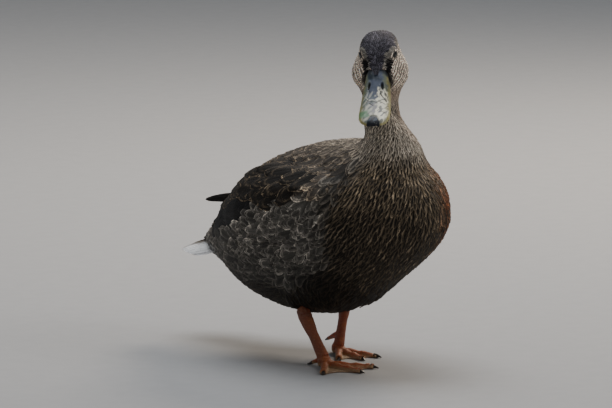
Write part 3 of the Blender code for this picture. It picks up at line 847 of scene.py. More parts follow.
# piece, its regions, rows and columns of each vane, how pointed, sway in degrees, slot
GROUPS = (
    ("coat_face", ("crown", "brow", "lore", "cheek", "throat"), 5, 3, 0.55, 7.0, "plumage_head"),
    ("coat_neck", ("neck", "nape"), 6, 3, 0.45, 6.0, "plumage"),
    ("coat_breast", ("breast",), 7, 5, 0.35, 6.0, "plumage"),
    ("coat_belly", ("belly", "vent", "thigh"), 7, 5, 0.30, 9.0, "plumage"),
    ("coat_back", ("mantle", "scapular", "rump"), 10, 7, 0.12, 8.0, "plumage"),
    ("coat_flank", ("flank",), 9, 7, 0.15, 16.0, "plumage"),
    ("coat_wing", ("wing",), 12, 7, 0.05, 3.0, "flight_feather"),
)
# how strongly the drawn rows and columns darken the plumage
CHEEK_CONTRAST = 1.5
STREAK_CONTRAST = 1.4


def clear_of_eyes(places):
    """Feathers part round the eyes instead of running over them."""
    local = head_local(places.reshape(-1, 3))
    for sign in SIGNS.values():
        _, _, along, up = eye_frame(sign)
        a, b, gap, outside = eye_gap(local, sign)
        inside = outside & (gap < LID_CLEAR)
        push = np.where(inside, LID_CLEAR / np.maximum(gap, 1e-5) - 1.0, 0.0)
        local = local + (a * push)[:, None] * along + (b * push)[:, None] * up
    return head_world(local).reshape(places.shape)


def make_bill_point():
    """The short dark feathers that run down the top of the bill to a point."""
    roots, normals = bill_point_roots()
    count = len(roots)
    rng = np.random.default_rng(37)
    lengths = np.full(count, 0.0042) * rng.uniform(0.85, 1.15, count)
    widths = np.full(count, 0.0015)
    places = straight(roots, normals, lengths, widths, np.full(count, 0.0009), 5, 3, 0.5)
    shade = np.exp(rng.normal(0.0, 0.3, (count, 1)))
    tone = np.tile(linear(LOOKS["crown"][4]), (count, 1)) * shade
    rim = np.tile(linear(LOOKS["crown"][5]), (count, 1)) * shade
    marks = np.tile([0.4, 0.0, 0.5], (count, 1))
    point = vane_mesh("coat_bill_point", places, lengths, widths, tone, rim, marks, roots)
    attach(point, "root")


def make_coat():
    """Feather vanes over the whole skin, in one piece for each group of regions."""
    roots = scatter()
    roots, normals = to_skin(roots)
    shares, sizes, tone, rim, marks = looks(roots, normals)
    by_eye = np.zeros(len(roots), bool)
    for sign in SIGNS.values():
        _, _, gap, outside = eye_gap(head_local(roots), sign)
        by_eye = by_eye | (outside & (gap < LID_CLEAR))
    names = list(shares)
    main = np.argmax(np.stack([shares[name] for name in names], 1), 1)
    rng = np.random.default_rng(23)
    scale = rng.normal(1.0, 0.09, len(roots)).clip(0.75, 1.3)
    shade = np.exp(rng.normal(0.0, 0.16, (len(roots), 1)))
    patchy = np.exp(0.14 * ripple(roots, 0.03, 5))[:, None]
    streaked = np.clip(shares["breast"] + 0.8 * shares["neck"] + 0.6 * shares["belly"], 0.0, 1.0)
    rowed = shares["cheek"]
    speckle = np.exp(rng.normal(0.0, 0.38, (len(roots), 1)) * (shares["crown"] + shares["brow"])[:, None])
    patchy = patchy * speckle
    big = shares["flank"] + shares["scapular"] + shares["mantle"] + shares["rump"]
    patchy = patchy * np.exp(0.42 * big * ripple(roots, 0.009, 21))[:, None]
    edge_shade = np.exp(rng.normal(0.0, 0.5, len(roots)).clip(-1.6, 0.35) * big)[:, None]
    scale = scale * (1.0 + 0.14 * rng.normal(0.0, 1.0, len(roots)).clip(-1.5, 1.5) * big)
    pieces = []
    for name, members, rows, columns, sharp, sway, slot in GROUPS:
        wanted = [names.index(m) for m in members]
        picked = np.isin(main, wanted) & ~by_eye
        at = np.flatnonzero(picked)
        lengths = sizes[at, 1] * scale[at]
        widths = sizes[at, 2] * scale[at]
        places = walked(roots[at], normals[at], lengths, widths, sizes[at, 3],
                        rows, columns, sharp, 31 + rows, sway)
        if name == "coat_face":
            places = clear_of_eyes(places)
        mark = marks[at].copy()
        mark[:, 0] = (mark[:, 0] * rng.normal(1.0, 0.15, len(at))).clip(0.05, 0.9)
        mark[:, 1] = (mark[:, 1] * rng.uniform(0.2, 1.2, len(at))).clip(0.0, 1.0)
        spots = places.reshape(-1, 3)
        drawn = None
        if name == "coat_face":
            drawn = -CHEEK_CONTRAST * np.repeat(rowed[at], rows * columns) * cheek_rows_at(spots)
        elif name in ("coat_neck", "coat_breast", "coat_belly"):
            drawn = STREAK_CONTRAST * np.repeat(streaked[at], rows * columns) * streaks_at(spots)
        dark = tone[at] * shade[at] * patchy[at]
        pale = rim[at] * shade[at] ** 0.7 * patchy[at] * edge_shade[at]
        coat = vane_mesh(name, places, lengths, widths, dark, pale, mark, roots[at], drawn)
        pieces.append(coat)
        print(name, len(at), "vanes", len(coat.data.polygons) * 2, "triangles")
    return pieces


# ---- material tools ----
class Nodes:
    """A short way to write a node tree."""

    def __init__(self, name):
        self.material = bpy.data.materials.new(name)
        self.material.use_nodes = True
        self.tree = self.material.node_tree
        self.tree.nodes.clear()
        self.shader = self.tree.nodes.new("ShaderNodeBsdfPrincipled")
        output = self.tree.nodes.new("ShaderNodeOutputMaterial")
        self.tree.links.new(self.shader.outputs[0], output.inputs[0])

    def add(self, kind, **settings):
        node = self.tree.nodes.new(kind)
        for key, value in settings.items():
            setattr(node, key, value)
        return node

    def join(self, source, socket):
        if isinstance(source, (int, float)):
            socket.default_value = source
        elif isinstance(source, (tuple, list, np.ndarray)):
            value = list(source)
            socket.default_value = value + [1.0] if len(value) == 3 and socket.type == "RGBA" else value
        else:
            self.tree.links.new(source, socket)

    def attribute(self, name, output="Color"):
        return self.add("ShaderNodeAttribute", attribute_name=name).outputs[output]

    def math(self, operation, a, b=0.0, c=0.0):
        node = self.add("ShaderNodeMath", operation=operation)
        self.join(a, node.inputs[0])
        self.join(b, node.inputs[1])
        self.join(c, node.inputs[2])
        return node.outputs[0]

    def times(self, a, b):
        return self.math("MULTIPLY", a, b)

    def plus(self, a, b):
        return self.math("ADD", a, b)

    def minus(self, a, b):
        return self.math("SUBTRACT", a, b)

    def scaled(self, a, factor, more):
        """a * factor + more"""
        return self.math("MULTIPLY_ADD", a, factor, more)

    def mix(self, share, a, b, blend="MIX"):
        node = self.add("ShaderNodeMix", data_type="RGBA", blend_type=blend)
        self.join(share, node.inputs[0])
        self.join(a, node.inputs[6])
        self.join(b, node.inputs[7])
        return node.outputs[2]

    def smooth(self, value, low, high):
        node = self.add("ShaderNodeMapRange", interpolation_type="SMOOTHSTEP")
        self.join(value, node.inputs["Value"])
        self.join(low, node.inputs["From Min"])
        self.join(high, node.inputs["From Max"])
        return node.outputs[0]

    def noise(self, scale, detail=3.0, roughness=0.55):
        node = self.add("ShaderNodeTexNoise")
        node.inputs["Scale"].default_value = scale
        node.inputs["Detail"].default_value = detail
        node.inputs["Roughness"].default_value = roughness
        self.join(self.position(), node.inputs["Vector"])
        return node.outputs["Fac"]

    def position(self):
        return self.add("ShaderNodeNewGeometry").outputs["Position"]

    def bump(self, height, distance, strength):
        node = self.add("ShaderNodeBump")
        node.inputs["Strength"].default_value = strength
        node.inputs["Distance"].default_value = distance
        self.join(height, node.inputs["Height"])
        return node.outputs[0]

    def finish(self, colour, roughness, normal=None, **values):
        self.join(colour, self.shader.inputs["Base Color"])
        self.join(roughness, self.shader.inputs["Roughness"])
        if normal is not None:
            self.tree.links.new(normal, self.shader.inputs["Normal"])
        for key, value in values.items():
            self.join(value, self.shader.inputs[key.replace("_", " ")])
        return self.material


def mottled(name, dark, pale, size, detail, roughness, relief, strength, shine=0.5):
    """A material mottled between two colours, with fine relief to match."""
    n = Nodes(name)
    grain = n.noise(size, detail)
    colour = n.mix(grain, linear(dark), linear(pale))
    return n.finish(colour, roughness, n.bump(grain, relief, strength), Specular_IOR_Level=shine)


def plumage_material():
    """Vane: dark centre, paler edge, inner bars or a streak, shaft line and slanting barbs."""
    n = Nodes("plumage")
    uv = n.add("ShaderNodeUVMap", uv_map="Vane").outputs[0]
    parts = n.add("ShaderNodeSeparateXYZ")
    n.join(uv, parts.inputs[0])
    across = n.math("ABSOLUTE", n.scaled(parts.outputs[0], 2.0, -1.0))
    along = parts.outputs[1]
    marks = n.add("ShaderNodeSeparateColor")
    n.join(n.attribute("marks"), marks.inputs[0])
    barb = n.attribute("barb", "Fac")
    fray = n.add("ShaderNodeTexNoise", noise_dimensions="1D")
    fray.inputs["Scale"].default_value = 1.6
    fray.inputs["Detail"].default_value = 2.0
    n.join(barb, fray.inputs["W"])
    grain = n.scaled(n.noise(800.0, 2.0), 0.40, -0.20)
    grain = n.plus(grain, n.scaled(fray.outputs["Fac"], 0.50, -0.25))
    tip = n.math("MAXIMUM", n.scaled(along, 2.2, -1.2), 0.0)
    inside = n.minus(1.0, n.math("POWER", across, 2.0))
    before = n.minus(1.0, n.math("POWER", tip, 2.0))
    edge = n.minus(1.0, n.times(inside, before))
    streak = n.scaled(across, 0.95, n.times(tip, 0.25))
    edge = n.plus(edge, grain)
    streak = n.plus(streak, n.times(grain, 1.3))
    low = n.minus(1.0, marks.outputs[0])
    high = n.scaled(marks.outputs[0], -0.4, 1.0)
    edged = n.smooth(edge, low, high)
    streaked = n.smooth(streak, n.times(low, 0.35), n.times(high, 0.95))
    share = n.add("ShaderNodeMix", data_type="FLOAT")
    n.join(marks.outputs[2], share.inputs[0])
    n.join(edged, share.inputs[2])
    n.join(streaked, share.inputs[3])
    bar = n.minus(1.0, n.smooth(n.math("ABSOLUTE", n.minus(edge, 0.42)), 0.03, 0.14))
    bar = n.times(n.times(bar, marks.outputs[1]), n.smooth(along, 0.35, 0.6))
    worn = n.scaled(n.smooth(n.noise(210.0, 2.0), 0.40, 0.62), 0.82, 0.18)
    worn = n.math("MAXIMUM", worn, n.times(marks.outputs[2], 1.6))
    worn = n.math("MINIMUM", worn, 1.0)
    colour = n.mix(n.times(share.outputs[0], worn), n.attribute("tone"), n.attribute("rim"))
    colour = n.mix(n.times(n.times(bar, 0.7), worn), colour, n.attribute("rim"))
    shaft = n.minus(1.0, n.smooth(across, 0.03, 0.10))
    colour = n.mix(n.times(shaft, 0.4), colour, linear((26, 20, 16)))
    wave = n.math("SINE", n.times(barb, 2.0 * math.pi / BARB_SPACING))
    mottle = n.noise(300.0, 4.0)
    strength = n.scaled(fray.outputs["Fac"], 0.7, n.scaled(mottle, 0.7, 0.3))
    shade = n.add("ShaderNodeCombineColor")
    for socket in shade.inputs:
        n.join(strength, socket)
    colour = n.mix(1.0, colour, shade.outputs[0], "MULTIPLY")
    height = n.plus(n.times(wave, 0.4), n.times(shaft, 1.2))
    height = n.plus(height, fray.outputs["Fac"])
    normal = n.bump(height, 0.00016, 0.8)
    return n.finish(colour, 0.62, normal, Specular_IOR_Level=0.16)


def skin_material():
    n = Nodes("skin_under_coat")
    speckle = n.noise(700.0, 4.0)
    colour = n.mix(n.times(speckle, 0.6), n.attribute("tone"), linear((24, 20, 17)))
    normal = n.bump(n.noise(1200.0, 3.0), 0.0003, 0.8)
    return n.finish(colour, 0.8, normal, Specular_IOR_Level=0.15)


PLUMAGE = plumage_material()

# ---- bill ----
# ahead of the head's centre: half width, and height of the lower edge
BILL_WIDTHS = ((0.020, 0.0098), (0.027, 0.0104), (0.037, 0.0114), (0.048, 0.0121), (0.060, 0.0128),
               (0.069, 0.0125), (0.0745, 0.0100), (0.0775, 0.0048))
BILL_EDGES = ((0.020, -0.0112), (0.037, -0.0124), (0.060, -0.0148), (0.0775, -0.0162))
# ahead, out from the middle; half length, half width
NOSTRIL = (0.0375, 0.0056)
NOSTRIL_SIZE = (0.0034, 0.0012)
NAIL_START = 0.0694
NAIL_MIDDLE = 0.0790
NAIL_HALF = 0.0054
CREASE = 0.0535
BILL_VOXEL = 0.00045
# side, ahead, length, turn in degrees, weight
SCRATCHES = (
    (0.0048, 0.0445, 0.0085, 24.0, 0.55),
    (0.0066, 0.0480, 0.0100, 40.0, 1.00),
    (0.0086, 0.0440, 0.0060, 30.0, 0.70),
    (0.0058, 0.0535, 0.0075, 62.0, 0.80),
    (0.0020, 0.0470, 0.0050, 12.0, 0.50),
    (-0.0030, 0.0560, 0.0060, 48.0, 0.80),
    (-0.0062, 0.0520, 0.0050, -30.0, 0.60),
    (0.0074, 0.0640, 0.0045, 66.0, 0.60),
    (-0.0052, 0.0420, 0.0070, 14.0, 0.50),
    (0.0036, 0.0620, 0.0040, -40.0, 0.50),
)


def bill_marks(hx, ha, hz):
    """Shares of nostril, nail, crease, rim and scratch at places on the bill."""
    half = line_at(ha, BILL_WIDTHS)
    out = np.abs(hx) / half
    along = (ha - NOSTRIL[0]) / NOSTRIL_SIZE[0]
    across = (np.abs(hx) - NOSTRIL[1] - 0.10 * (ha - NOSTRIL[0])) / NOSTRIL_SIZE[1]
    on_top = hz > line_at(ha, BILL_EDGES) + 0.0010
    nostril = smooth(1.25, 0.55, np.hypot(along, across)) * on_top
    nail_gap = np.hypot((ha - NAIL_MIDDLE) / (NAIL_MIDDLE - NAIL_START), hx / NAIL_HALF)
    nail = smooth(1.06, 0.94, nail_gap)
    nail_groove = smooth(0.12, 0.0, np.abs(nail_gap - 1.04))
    arc = ha - (CREASE - 0.85 * hx**2 / half + 0.0006 * np.sin(hx * 900.0))
    crease = smooth(0.0006, 0.0001, np.abs(arc)) * smooth(0.80, 0.5, out) * on_top
    ridge = smooth(0.0010, 0.0003, np.abs(arc + 0.0012)) * smooth(0.80, 0.5, out) * on_top
    rim = smooth(0.0028, 0.0008, hz - line_at(ha, BILL_EDGES)) * smooth(0.55, 0.8, out)
    scratch = np.zeros(len(hx))
    for side, ahead, length, turn, weight in SCRATCHES:
        c = math.cos(math.radians(turn))
        s = math.sin(math.radians(turn))
        u = (hx - side) * s + (ha - ahead) * c
        v = (hx - side) * c - (ha - ahead) * s
        v = v - 9.0 * u**2
        thick = 0.00055 * weight
        line = smooth(thick, thick * 0.45, np.abs(v)) * smooth(length / 2, length / 2.6, np.abs(u))
        scratch = np.maximum(scratch, line * on_top)
    return {"nostril": nostril, "nail": nail, "groove": nail_groove, "crease": crease, "rim": rim,
            "scratch": scratch, "ridge": ridge, "out": out, "top": on_top * 1.0}


def make_bill():
    """The upper bill with its nostrils, nail, crease and scratches. The lower one stays the CAD's."""
    rough = swollen_copy(("bill_upper",), 0.0)
    bill = remeshed(rough, "bill", BILL_VOXEL, 5)
    mesh = bill.data
    points, normals = surface(mesh)
    hx, ha, hz = in_head(points)
    m = bill_marks(hx, ha, hz)
    lift = -0.0016 * m["nostril"] + 0.00022 * m["nail"] - 0.00035 * m["groove"] - 0.00022 * m["crease"]
    lift = lift + 0.00030 * m["rim"] - 0.00016 * m["scratch"]
    lips = smooth(1.7, 1.25, np.hypot((ha - NOSTRIL[0]) / NOSTRIL_SIZE[0],
                                      (np.abs(hx) - NOSTRIL[1]) / NOSTRIL_SIZE[1]))
    lift = lift + 0.00022 * (lips - m["nostril"]) * m["top"]
    hollow = smooth(0.0, 1.0, 1.0 - np.abs(ha - 0.046) / 0.014) * smooth(0.75, 0.3, m["out"])
    lift = lift - 0.00035 * hollow + 0.00006 * ripple(points, 0.004, 41)
    put_points(mesh, points + normals * lift[:, None])
    colour_layer(mesh, "paint", bill_paint(points, hx, ha, hz, m))
    mesh.materials.append(bill_material())
    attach(bill, "root")
    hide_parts("bill_upper")
    lower = NODES["bill_lower"]
    lower.data.materials.clear()
    horn = mottled("bill_lower", (92, 84, 56), (150, 138, 92), 420.0, 4.0, 0.45, 0.0002, 0.5, 0.4)
    lower.data.materials.append(horn)


def bill_paint(points, hx, ha, hz, m):
    """Olive green-grey, bluer down the middle, yellower at the edges and paler towards the tip, with
    painted highlights on the far side and on the nail.
    """
    cloud = ripple(points, 0.011, 43)
    warp = 0.0016 * ripple(points, 0.005, 44) + 0.0007 * ripple(points, 0.002, 45)
    patch = ripple(points, 0.0042, 46)
    ridge = smooth(0.75, 0.35, m["out"] + 60.0 * warp) * smooth(0.060, 0.050, ha + warp)
    # a painted cream highlight on the far side of the bill, from the nostrils forward
    painted_highlight = smooth(0.0006, 0.0022, hx + warp) * smooth(0.0385, 0.0420, ha + warp)
    right = smooth(-0.0004, -0.0020, hx + warp) * smooth(0.040, 0.046, ha)
    middle = smooth(0.0046, 0.0022, np.abs(hx + 0.0008 + warp)) * smooth(0.0535, 0.0550, ha + warp)
    middle = middle * smooth(0.0690, 0.0640, ha) * smooth(-0.5, 0.4, patch)
    weed = smooth(0.0030, 0.0052, -hx + warp) * smooth(0.060, 0.064, ha) * smooth(0.0715, 0.068, ha)
    # a painted blue highlight on the nail
    painted_nail_highlight = m["nail"] * smooth(0.0, 0.6, patch) * smooth(0.0765, 0.0735, ha)
    under = smooth(0.0004, -0.0008, hz - line_at(ha, BILL_EDGES))
    layers = (
        (ridge, (86, 95, 113)),
        (smooth(-0.2, 0.5, cloud) * smooth(0.042, 0.030, ha), (38, 50, 60)),
        (smooth(0.048, 0.060, ha + warp) * 0.8, (186, 182, 164)),
        # the painted highlight, broken by greyer patches
        (painted_highlight * 0.9, (255, 250, 226)),
        (painted_highlight * smooth(0.15, 0.5, patch) * 0.85, (104, 108, 104)),
        (right * smooth(0.0, 0.5, patch) * 0.75, (82, 96, 92)),
        (right * smooth(0.1, 0.7, -patch) * 0.6, (214, 212, 198)),
        (middle * 0.7, (146, 144, 152)),
        (smooth(0.70, 0.95, m["out"] + 40.0 * warp) * 0.8, (138, 128, 62)),
        (smooth(0.62, 0.90, m["out"]) * smooth(0.0, 0.5, -patch) * 0.5, (58, 62, 46)),
        (weed * 0.8, (70, 126, 78)),
        (smooth(0.0275, 0.0225, ha + warp) * 0.85, (34, 38, 44)),
        (m["ridge"] * 0.7, (222, 222, 208)),
        (m["rim"] * 0.6, (196, 184, 120)),
        (m["crease"] * 0.95, (34, 38, 32)),
        (m["scratch"] * 0.95, (36, 24, 18)),
        (m["nostril"], (8, 8, 10)),
        (m["groove"] * 0.6, (60, 62, 60)),
        (m["nail"], (12, 18, 30)),
        # the painted highlight on the nail
        (painted_nail_highlight * 0.4, (56, 84, 104)),
        (under * 0.8, (60, 50, 34)),
    )
    return painted(len(points), (104, 112, 96), layers)


def bill_material():
    n = Nodes("bill_horn")
    colour = n.attribute("paint")
    speck = n.smooth(n.noise(900.0, 3.0), 0.60, 0.70)
    colour = n.mix(n.times(speck, 0.35), colour, linear((62, 58, 44)))
    fine = n.noise(330.0, 5.0, 0.6)
    pale = n.smooth(fine, 0.55, 0.75)
    colour = n.mix(n.times(pale, 0.25), colour, linear((210, 208, 196)))
    height = n.scaled(n.noise(1500.0, 2.0), 0.4, fine)
    normal = n.bump(height, 0.00018, 0.6)
    rough = n.scaled(fine, 0.25, 0.30)
    return n.finish(colour, rough, normal, Specular_IOR_Level=0.35, Coat_Weight=0.05)


# ---- eyes and lids ----
LID_STEPS = 40
# the lid from its inner lip outwards: degrees from the opening's edge, height over the eyeball
LID_ROWS = ((-5.0, -0.00025), (-2.5, 0.00014), (1.0, 0.00040), (5.0, 0.00048), (10.0, 0.00042),
            (16.0, 0.00022), (22.0, -0.00010))


def lid_ring(side):
    """Bare lids round the eye: a shell over the ball with a thick almond-shaped edge."""
    centre, axis, along, up = eye_frame(SIGNS[side])
    verts = []
    faces = []
    for i in range(LID_STEPS):
        angle = 2.0 * math.pi * i / LID_STEPS
        corner = 1.0 + 0.14 * abs(math.cos(angle)) ** 6
        a = math.cos(angle) * LID_OUT * corner
        b = math.sin(angle) * LID_OUT / LID_SQUASH
        way = (along * a + up * b) / math.hypot(a, b)
        edge = math.asin(min(math.hypot(a, b) / BALL_RADIUS, 0.95))
        for degrees, height in LID_ROWS:
            turn = edge + math.radians(degrees)
            crease = 0.00004 * math.sin(9.0 * angle + degrees / 10.0)
            reach = BALL_RADIUS + height + crease
            verts.append(centre + (axis * math.cos(turn) + way * math.sin(turn)) * reach)
    rows = len(LID_ROWS)
    for i in range(LID_STEPS):
        for j in range(rows - 1):
            after = ((i + 1) % LID_STEPS) * rows
            faces.append((i * rows + j, i * rows + j + 1, after + j + 1, after + j))
    name = f"lid_{side}"
    lid = new_object(name, head_world(np.array(verts)), faces, True)
    bare = mottled(name, (20, 19, 19), (52, 48, 44), 1600.0, 3.0, 0.6, 0.0001, 0.6)
    lid.data.materials.append(bare)
    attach(lid, "root")


EYE_RINGS = 22
EYE_SEGMENTS = 36
# how far the iris and pupil reach from the eye's axis, in degrees
IRIS_ANGLE = 38.0
PUPIL_ANGLE = 17.0
# the cornea's height as a share of the ball's radius, and its reach in degrees
CORNEA_RISE = 0.035
CORNEA_ANGLE = 48.0


def make_eye(side):
    """An eyeball with a raised cornea, a dark brown iris and a black pupil."""
    centre, axis, along, up = eye_frame(SIGNS[side])
    verts = [centre + axis * BALL_RADIUS * (1.0 + CORNEA_RISE)]
    for ring in range(1, EYE_RINGS):
        turn = math.pi * ring / EYE_RINGS
        cornea = CORNEA_RISE * max(0.0, 1.0 - (math.degrees(turn) / CORNEA_ANGLE) ** 2)
        reach = BALL_RADIUS * (1.0 + cornea)
        for step in range(EYE_SEGMENTS):
            angle = 2.0 * math.pi * step / EYE_SEGMENTS
            way = along * math.cos(angle) + up * math.sin(angle)
            verts.append(centre + (axis * math.cos(turn) + way * math.sin(turn)) * reach)
    verts.append(centre - axis * BALL_RADIUS)
    faces = []
    last = len(verts) - 1
    for step in range(EYE_SEGMENTS):
        after = (step + 1) % EYE_SEGMENTS
        faces.append((0, 1 + step, 1 + after))
        start = 1 + (EYE_RINGS - 2) * EYE_SEGMENTS
        faces.append((last, start + after, start + step))
        for ring in range(EYE_RINGS - 2):
            a = 1 + ring * EYE_SEGMENTS
            b = a + EYE_SEGMENTS
            faces.append((a + step, b + step, b + after, a + after))
    name = f"eye_{side}"
    eye = new_object(f"{name}_ball", head_world(np.array(verts)), faces, True)
    eye.data.materials.append(eye_material(side))
    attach(eye, "root")
    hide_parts(name)


def eye_material(side):
    """Iris and pupil are told apart by the angle from the eye's own axis."""
    n = Nodes(f"eye_gloss_{side}")
    centre, axis, _, _ = eye_frame(SIGNS[side])
    shifted = n.add("ShaderNodeVectorMath", operation="SUBTRACT")
    n.join(n.position(), shifted.inputs[0])
    shifted.inputs[1].default_value = tuple(head_world(centre[None])[0])
    dot = n.add("ShaderNodeVectorMath", operation="DOT_PRODUCT")
    n.join(shifted.outputs[0], dot.inputs[0])
    dot.inputs[1].default_value = tuple(HEAD_TURN @ axis)
    facing = n.math("DIVIDE", dot.outputs["Value"], BALL_RADIUS)
    inner = math.cos(math.radians(PUPIL_ANGLE))
    pupil = n.smooth(facing, inner - 0.012, inner + 0.012)
    outer = math.cos(math.radians(IRIS_ANGLE))
    limbus = n.smooth(facing, outer - 0.03, outer + 0.03)
    fibres = n.noise(2600.0, 3.0)
    iris = n.mix(fibres, linear((16, 10, 7)), linear((34, 21, 14)))
    iris = n.mix(limbus, linear((7, 6, 6)), iris)
    colour = n.mix(pupil, iris, linear((4, 4, 5)))
    return n.finish(colour, 0.07, Specular_IOR_Level=0.5)


# ---- legs and feet ----
# the scutes' spacing and height, the thicker skin round a claw, and the web's folds in a whole turn
SCUTE = 0.0021
SCUTE_RISE = 0.00026
CLAW_COVER = 0.0009
WEB_FOLDS = 46.0
LEG_VOXEL = 0.00060


def claw_cover(points, side):
    """Thicker toe skin where the claws go in: 1 at a claw's root, and 0 away from it."""
    foot = np.array([FOOT_PLACES[side][0], -FOOT_PLACES[side][1], 0.004])
    cover = np.zeros(len(points))
    for toe in ("inner", "middle", "outer"):
        node = NODES[f"claw_{toe}_{side}"]
        claw = np.array([node.matrix_world @ v.co for v in node.data.vertices])
        gap = np.linalg.norm(claw - foot, axis=1)
        root = claw[gap < gap.min() + 0.0016].mean(0)
        cover = np.maximum(cover, smooth(0.0048, 0.0026, np.linalg.norm(points - root, axis=1)))
    return cover


def make_leg(side):
    """Shank, foot and hind toe under one skin, with rings of scutes, folded webs and flat soles."""
    names = (f"shank_{side}", f"foot_{side}", f"hallux_{side}")
    rough = swollen_copy(names, 0.0002)
    leg = remeshed(rough, f"leg_{side}", LEG_VOXEL, 4)
    mesh = leg.data
    points, normals = surface(mesh)
    hock = np.array(LEG_HOCKS[side])
    foot = FOOT_PLACES[side]
    ahead = -points[:, 1]
    reach = np.hypot(points[:, 0] - foot[0], ahead - foot[1])
    high = smooth(0.009, 0.013, points[:, 2])
    place = np.where(high > 0.5, points[:, 2], reach)
    wander = 0.0005 * ripple(points, 0.008, 51)
    ring = np.abs(np.sin(np.pi * (place + wander) / SCUTE)) ** 0.5
    top = np.where(high > 0.5, smooth(-0.5, 0.3, -normals[:, 1]), smooth(0.1, 0.6, normals[:, 2]))
    thick = smooth(0.0022, 0.0038, points[:, 2])
    lift = SCUTE_RISE * (ring - 0.8) * top * np.maximum(thick, high)
    joint = smooth(0.007, 0.0, np.abs(points[:, 2] - hock[2]))
    lift = lift + 0.00030 * ripple(points, 0.0035, 52) * joint
    web = (1.0 - thick) * (1.0 - high)
    folds = np.sin(np.arctan2(points[:, 0] - foot[0], ahead - foot[1]) * WEB_FOLDS)
    lift = lift + 0.00010 * folds * web * smooth(0.008, 0.016, reach)
    sole = smooth(0.0016, 0.0006, points[:, 2])
    lift = (lift + CLAW_COVER * claw_cover(points, side)) * (1.0 - sole)
    moved = points + normals * lift[:, None]
    moved[:, 2] = np.maximum(moved[:, 2], 0.0)
    put_points(mesh, moved)
    colour_layer(mesh, "paint", leg_paint(points, ring * top, web, high, joint, sole))
    mesh.materials.append(leg_material())
    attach(leg, "root")
    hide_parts(*names)
    for toe in ("inner", "middle", "outer", "hind"):
        claw = NODES[f"claw_{toe}_{side}"]
        claw.data.materials.clear()
        horn = mottled("claw_horn", (22, 19, 18), (64, 54, 48), 700.0, 4.0, 0.38, 0.0001, 0.5)
        claw.data.materials.append(horn)


def leg_paint(points, ring, web, high, joint, sole):
    """Orange-brown skin with darker rings and joints, and paler webs whose paleness is partly painted
    backlight.
    """
    layers = (
        (high * 0.75, (138, 80, 56)),
        (smooth(0.3, 1.0, ripple(points, 0.012, 53)) * 0.5, (176, 104, 58)),
        (smooth(0.75, 0.25, ring) * 0.30 * (1.0 - web), (78, 42, 28)),
        # pale webs: partly their own colour, partly painted light shining through them
        (web * 0.80, (196, 162, 124)),
        (web * smooth(0.3, 1.0, ripple(points, 0.006, 54)) * 0.4, (128, 94, 66)),
        (joint * 0.45, (96, 54, 38)),
        (sole * 0.7, (92, 74, 56)),
    )
    return painted(len(points), (170, 98, 58), layers)


def leg_material():
    n = Nodes("leg_skin")
    cells = n.add("ShaderNodeTexVoronoi", feature="DISTANCE_TO_EDGE")
    cells.inputs["Scale"].default_value = 1050.0
    n.join(n.position(), cells.inputs["Vector"])
    gap = n.smooth(cells.outputs["Distance"], 0.02, 0.16)
    colour = n.mix(n.scaled(gap, -0.35, 0.35), n.attribute("paint"), linear((70, 38, 26)))
    dust = n.noise(500.0, 4.0)
    colour = n.mix(n.times(n.smooth(dust, 0.5, 0.75), 0.35), colour, linear((168, 132, 108)))
    normal = n.bump(n.scaled(dust, 0.4, gap), 0.00022, 0.8)
    rough = n.scaled(dust, 0.3, 0.35)
    return n.finish(colour, rough, normal, Specular_IOR_Level=0.4, Subsurface_Weight=0.08)


# ---- big feathers: wings and tail ----
BIG_COLUMNS = 9
BIG_ROWS = 16
SHAFT_RISE = 0.0003


def curve_at(stops, share):
    """A point on a smooth line through rows of numbers, share running from 0 to 1."""
    rows = np.array(stops, float)
    place = np.clip(np.asarray(share, float), 0.0, 1.0) * (len(rows) - 1)
    first = np.minimum(place.astype(int), len(rows) - 2)
    t = (place - first)[..., None]
    before = rows[np.maximum(first - 1, 0)]
    a = rows[first]
    b = rows[first + 1]
    after = rows[np.minimum(first + 2, len(rows) - 1)]
    return 0.5 * (2 * a + (b - before) * t + (2 * before - 5 * a + 4 * b - after) * t**2
                  + (3 * a - before - 3 * b + after) * t**3)


def swept(paths, sideways, outward, widths, sharp, camber):
    """Vanes swept along given lines, spread sideways, with a raised shaft on the outward face."""
    across = np.linspace(-1.0, 1.0, BIG_COLUMNS)
    along = vane_rows(BIG_ROWS)
    ways = unit(np.gradient(paths, axis=1))
    sides = square_to(ways, sideways)
    ups = np.cross(sides, ways)
    ups = ups * np.sign((ups * outward).sum(2, keepdims=True))
    half = widths[:, None] * outline(along, sharp)[None] / 2.0
    spread = sides[:, :, None, :] * (half[..., None] * across)[..., None]
    bow = -camber * half[..., None] * across**2 + SHAFT_RISE * np.exp(-((across / 0.12) ** 2))
    return paths[:, :, None, :] + spread + ups[:, :, None, :] * bow[..., None]


TAIL_FEATHERS = 18
TAIL_HALF = 0.0262
TAIL_ROOT_HALF = 0.012
# ahead: the roots, the middle pair's tips, and how much further ahead the outer tips are
TAIL_ROOT = -0.082
TAIL_TIP = -0.1610
TAIL_STEP = 0.0330
# each feather's width and length
TAIL_WIDTH = 0.0160
TAIL_LENGTH = 0.075
# behind the frame's origin, height of the tail's upper face
TAIL_LEVELS = ((0.082, 0.0925), (0.1035, 0.0893), (0.1205, 0.0848), (0.1335, 0.0808), (0.1455, 0.0769),
               (0.1625, 0.0702))


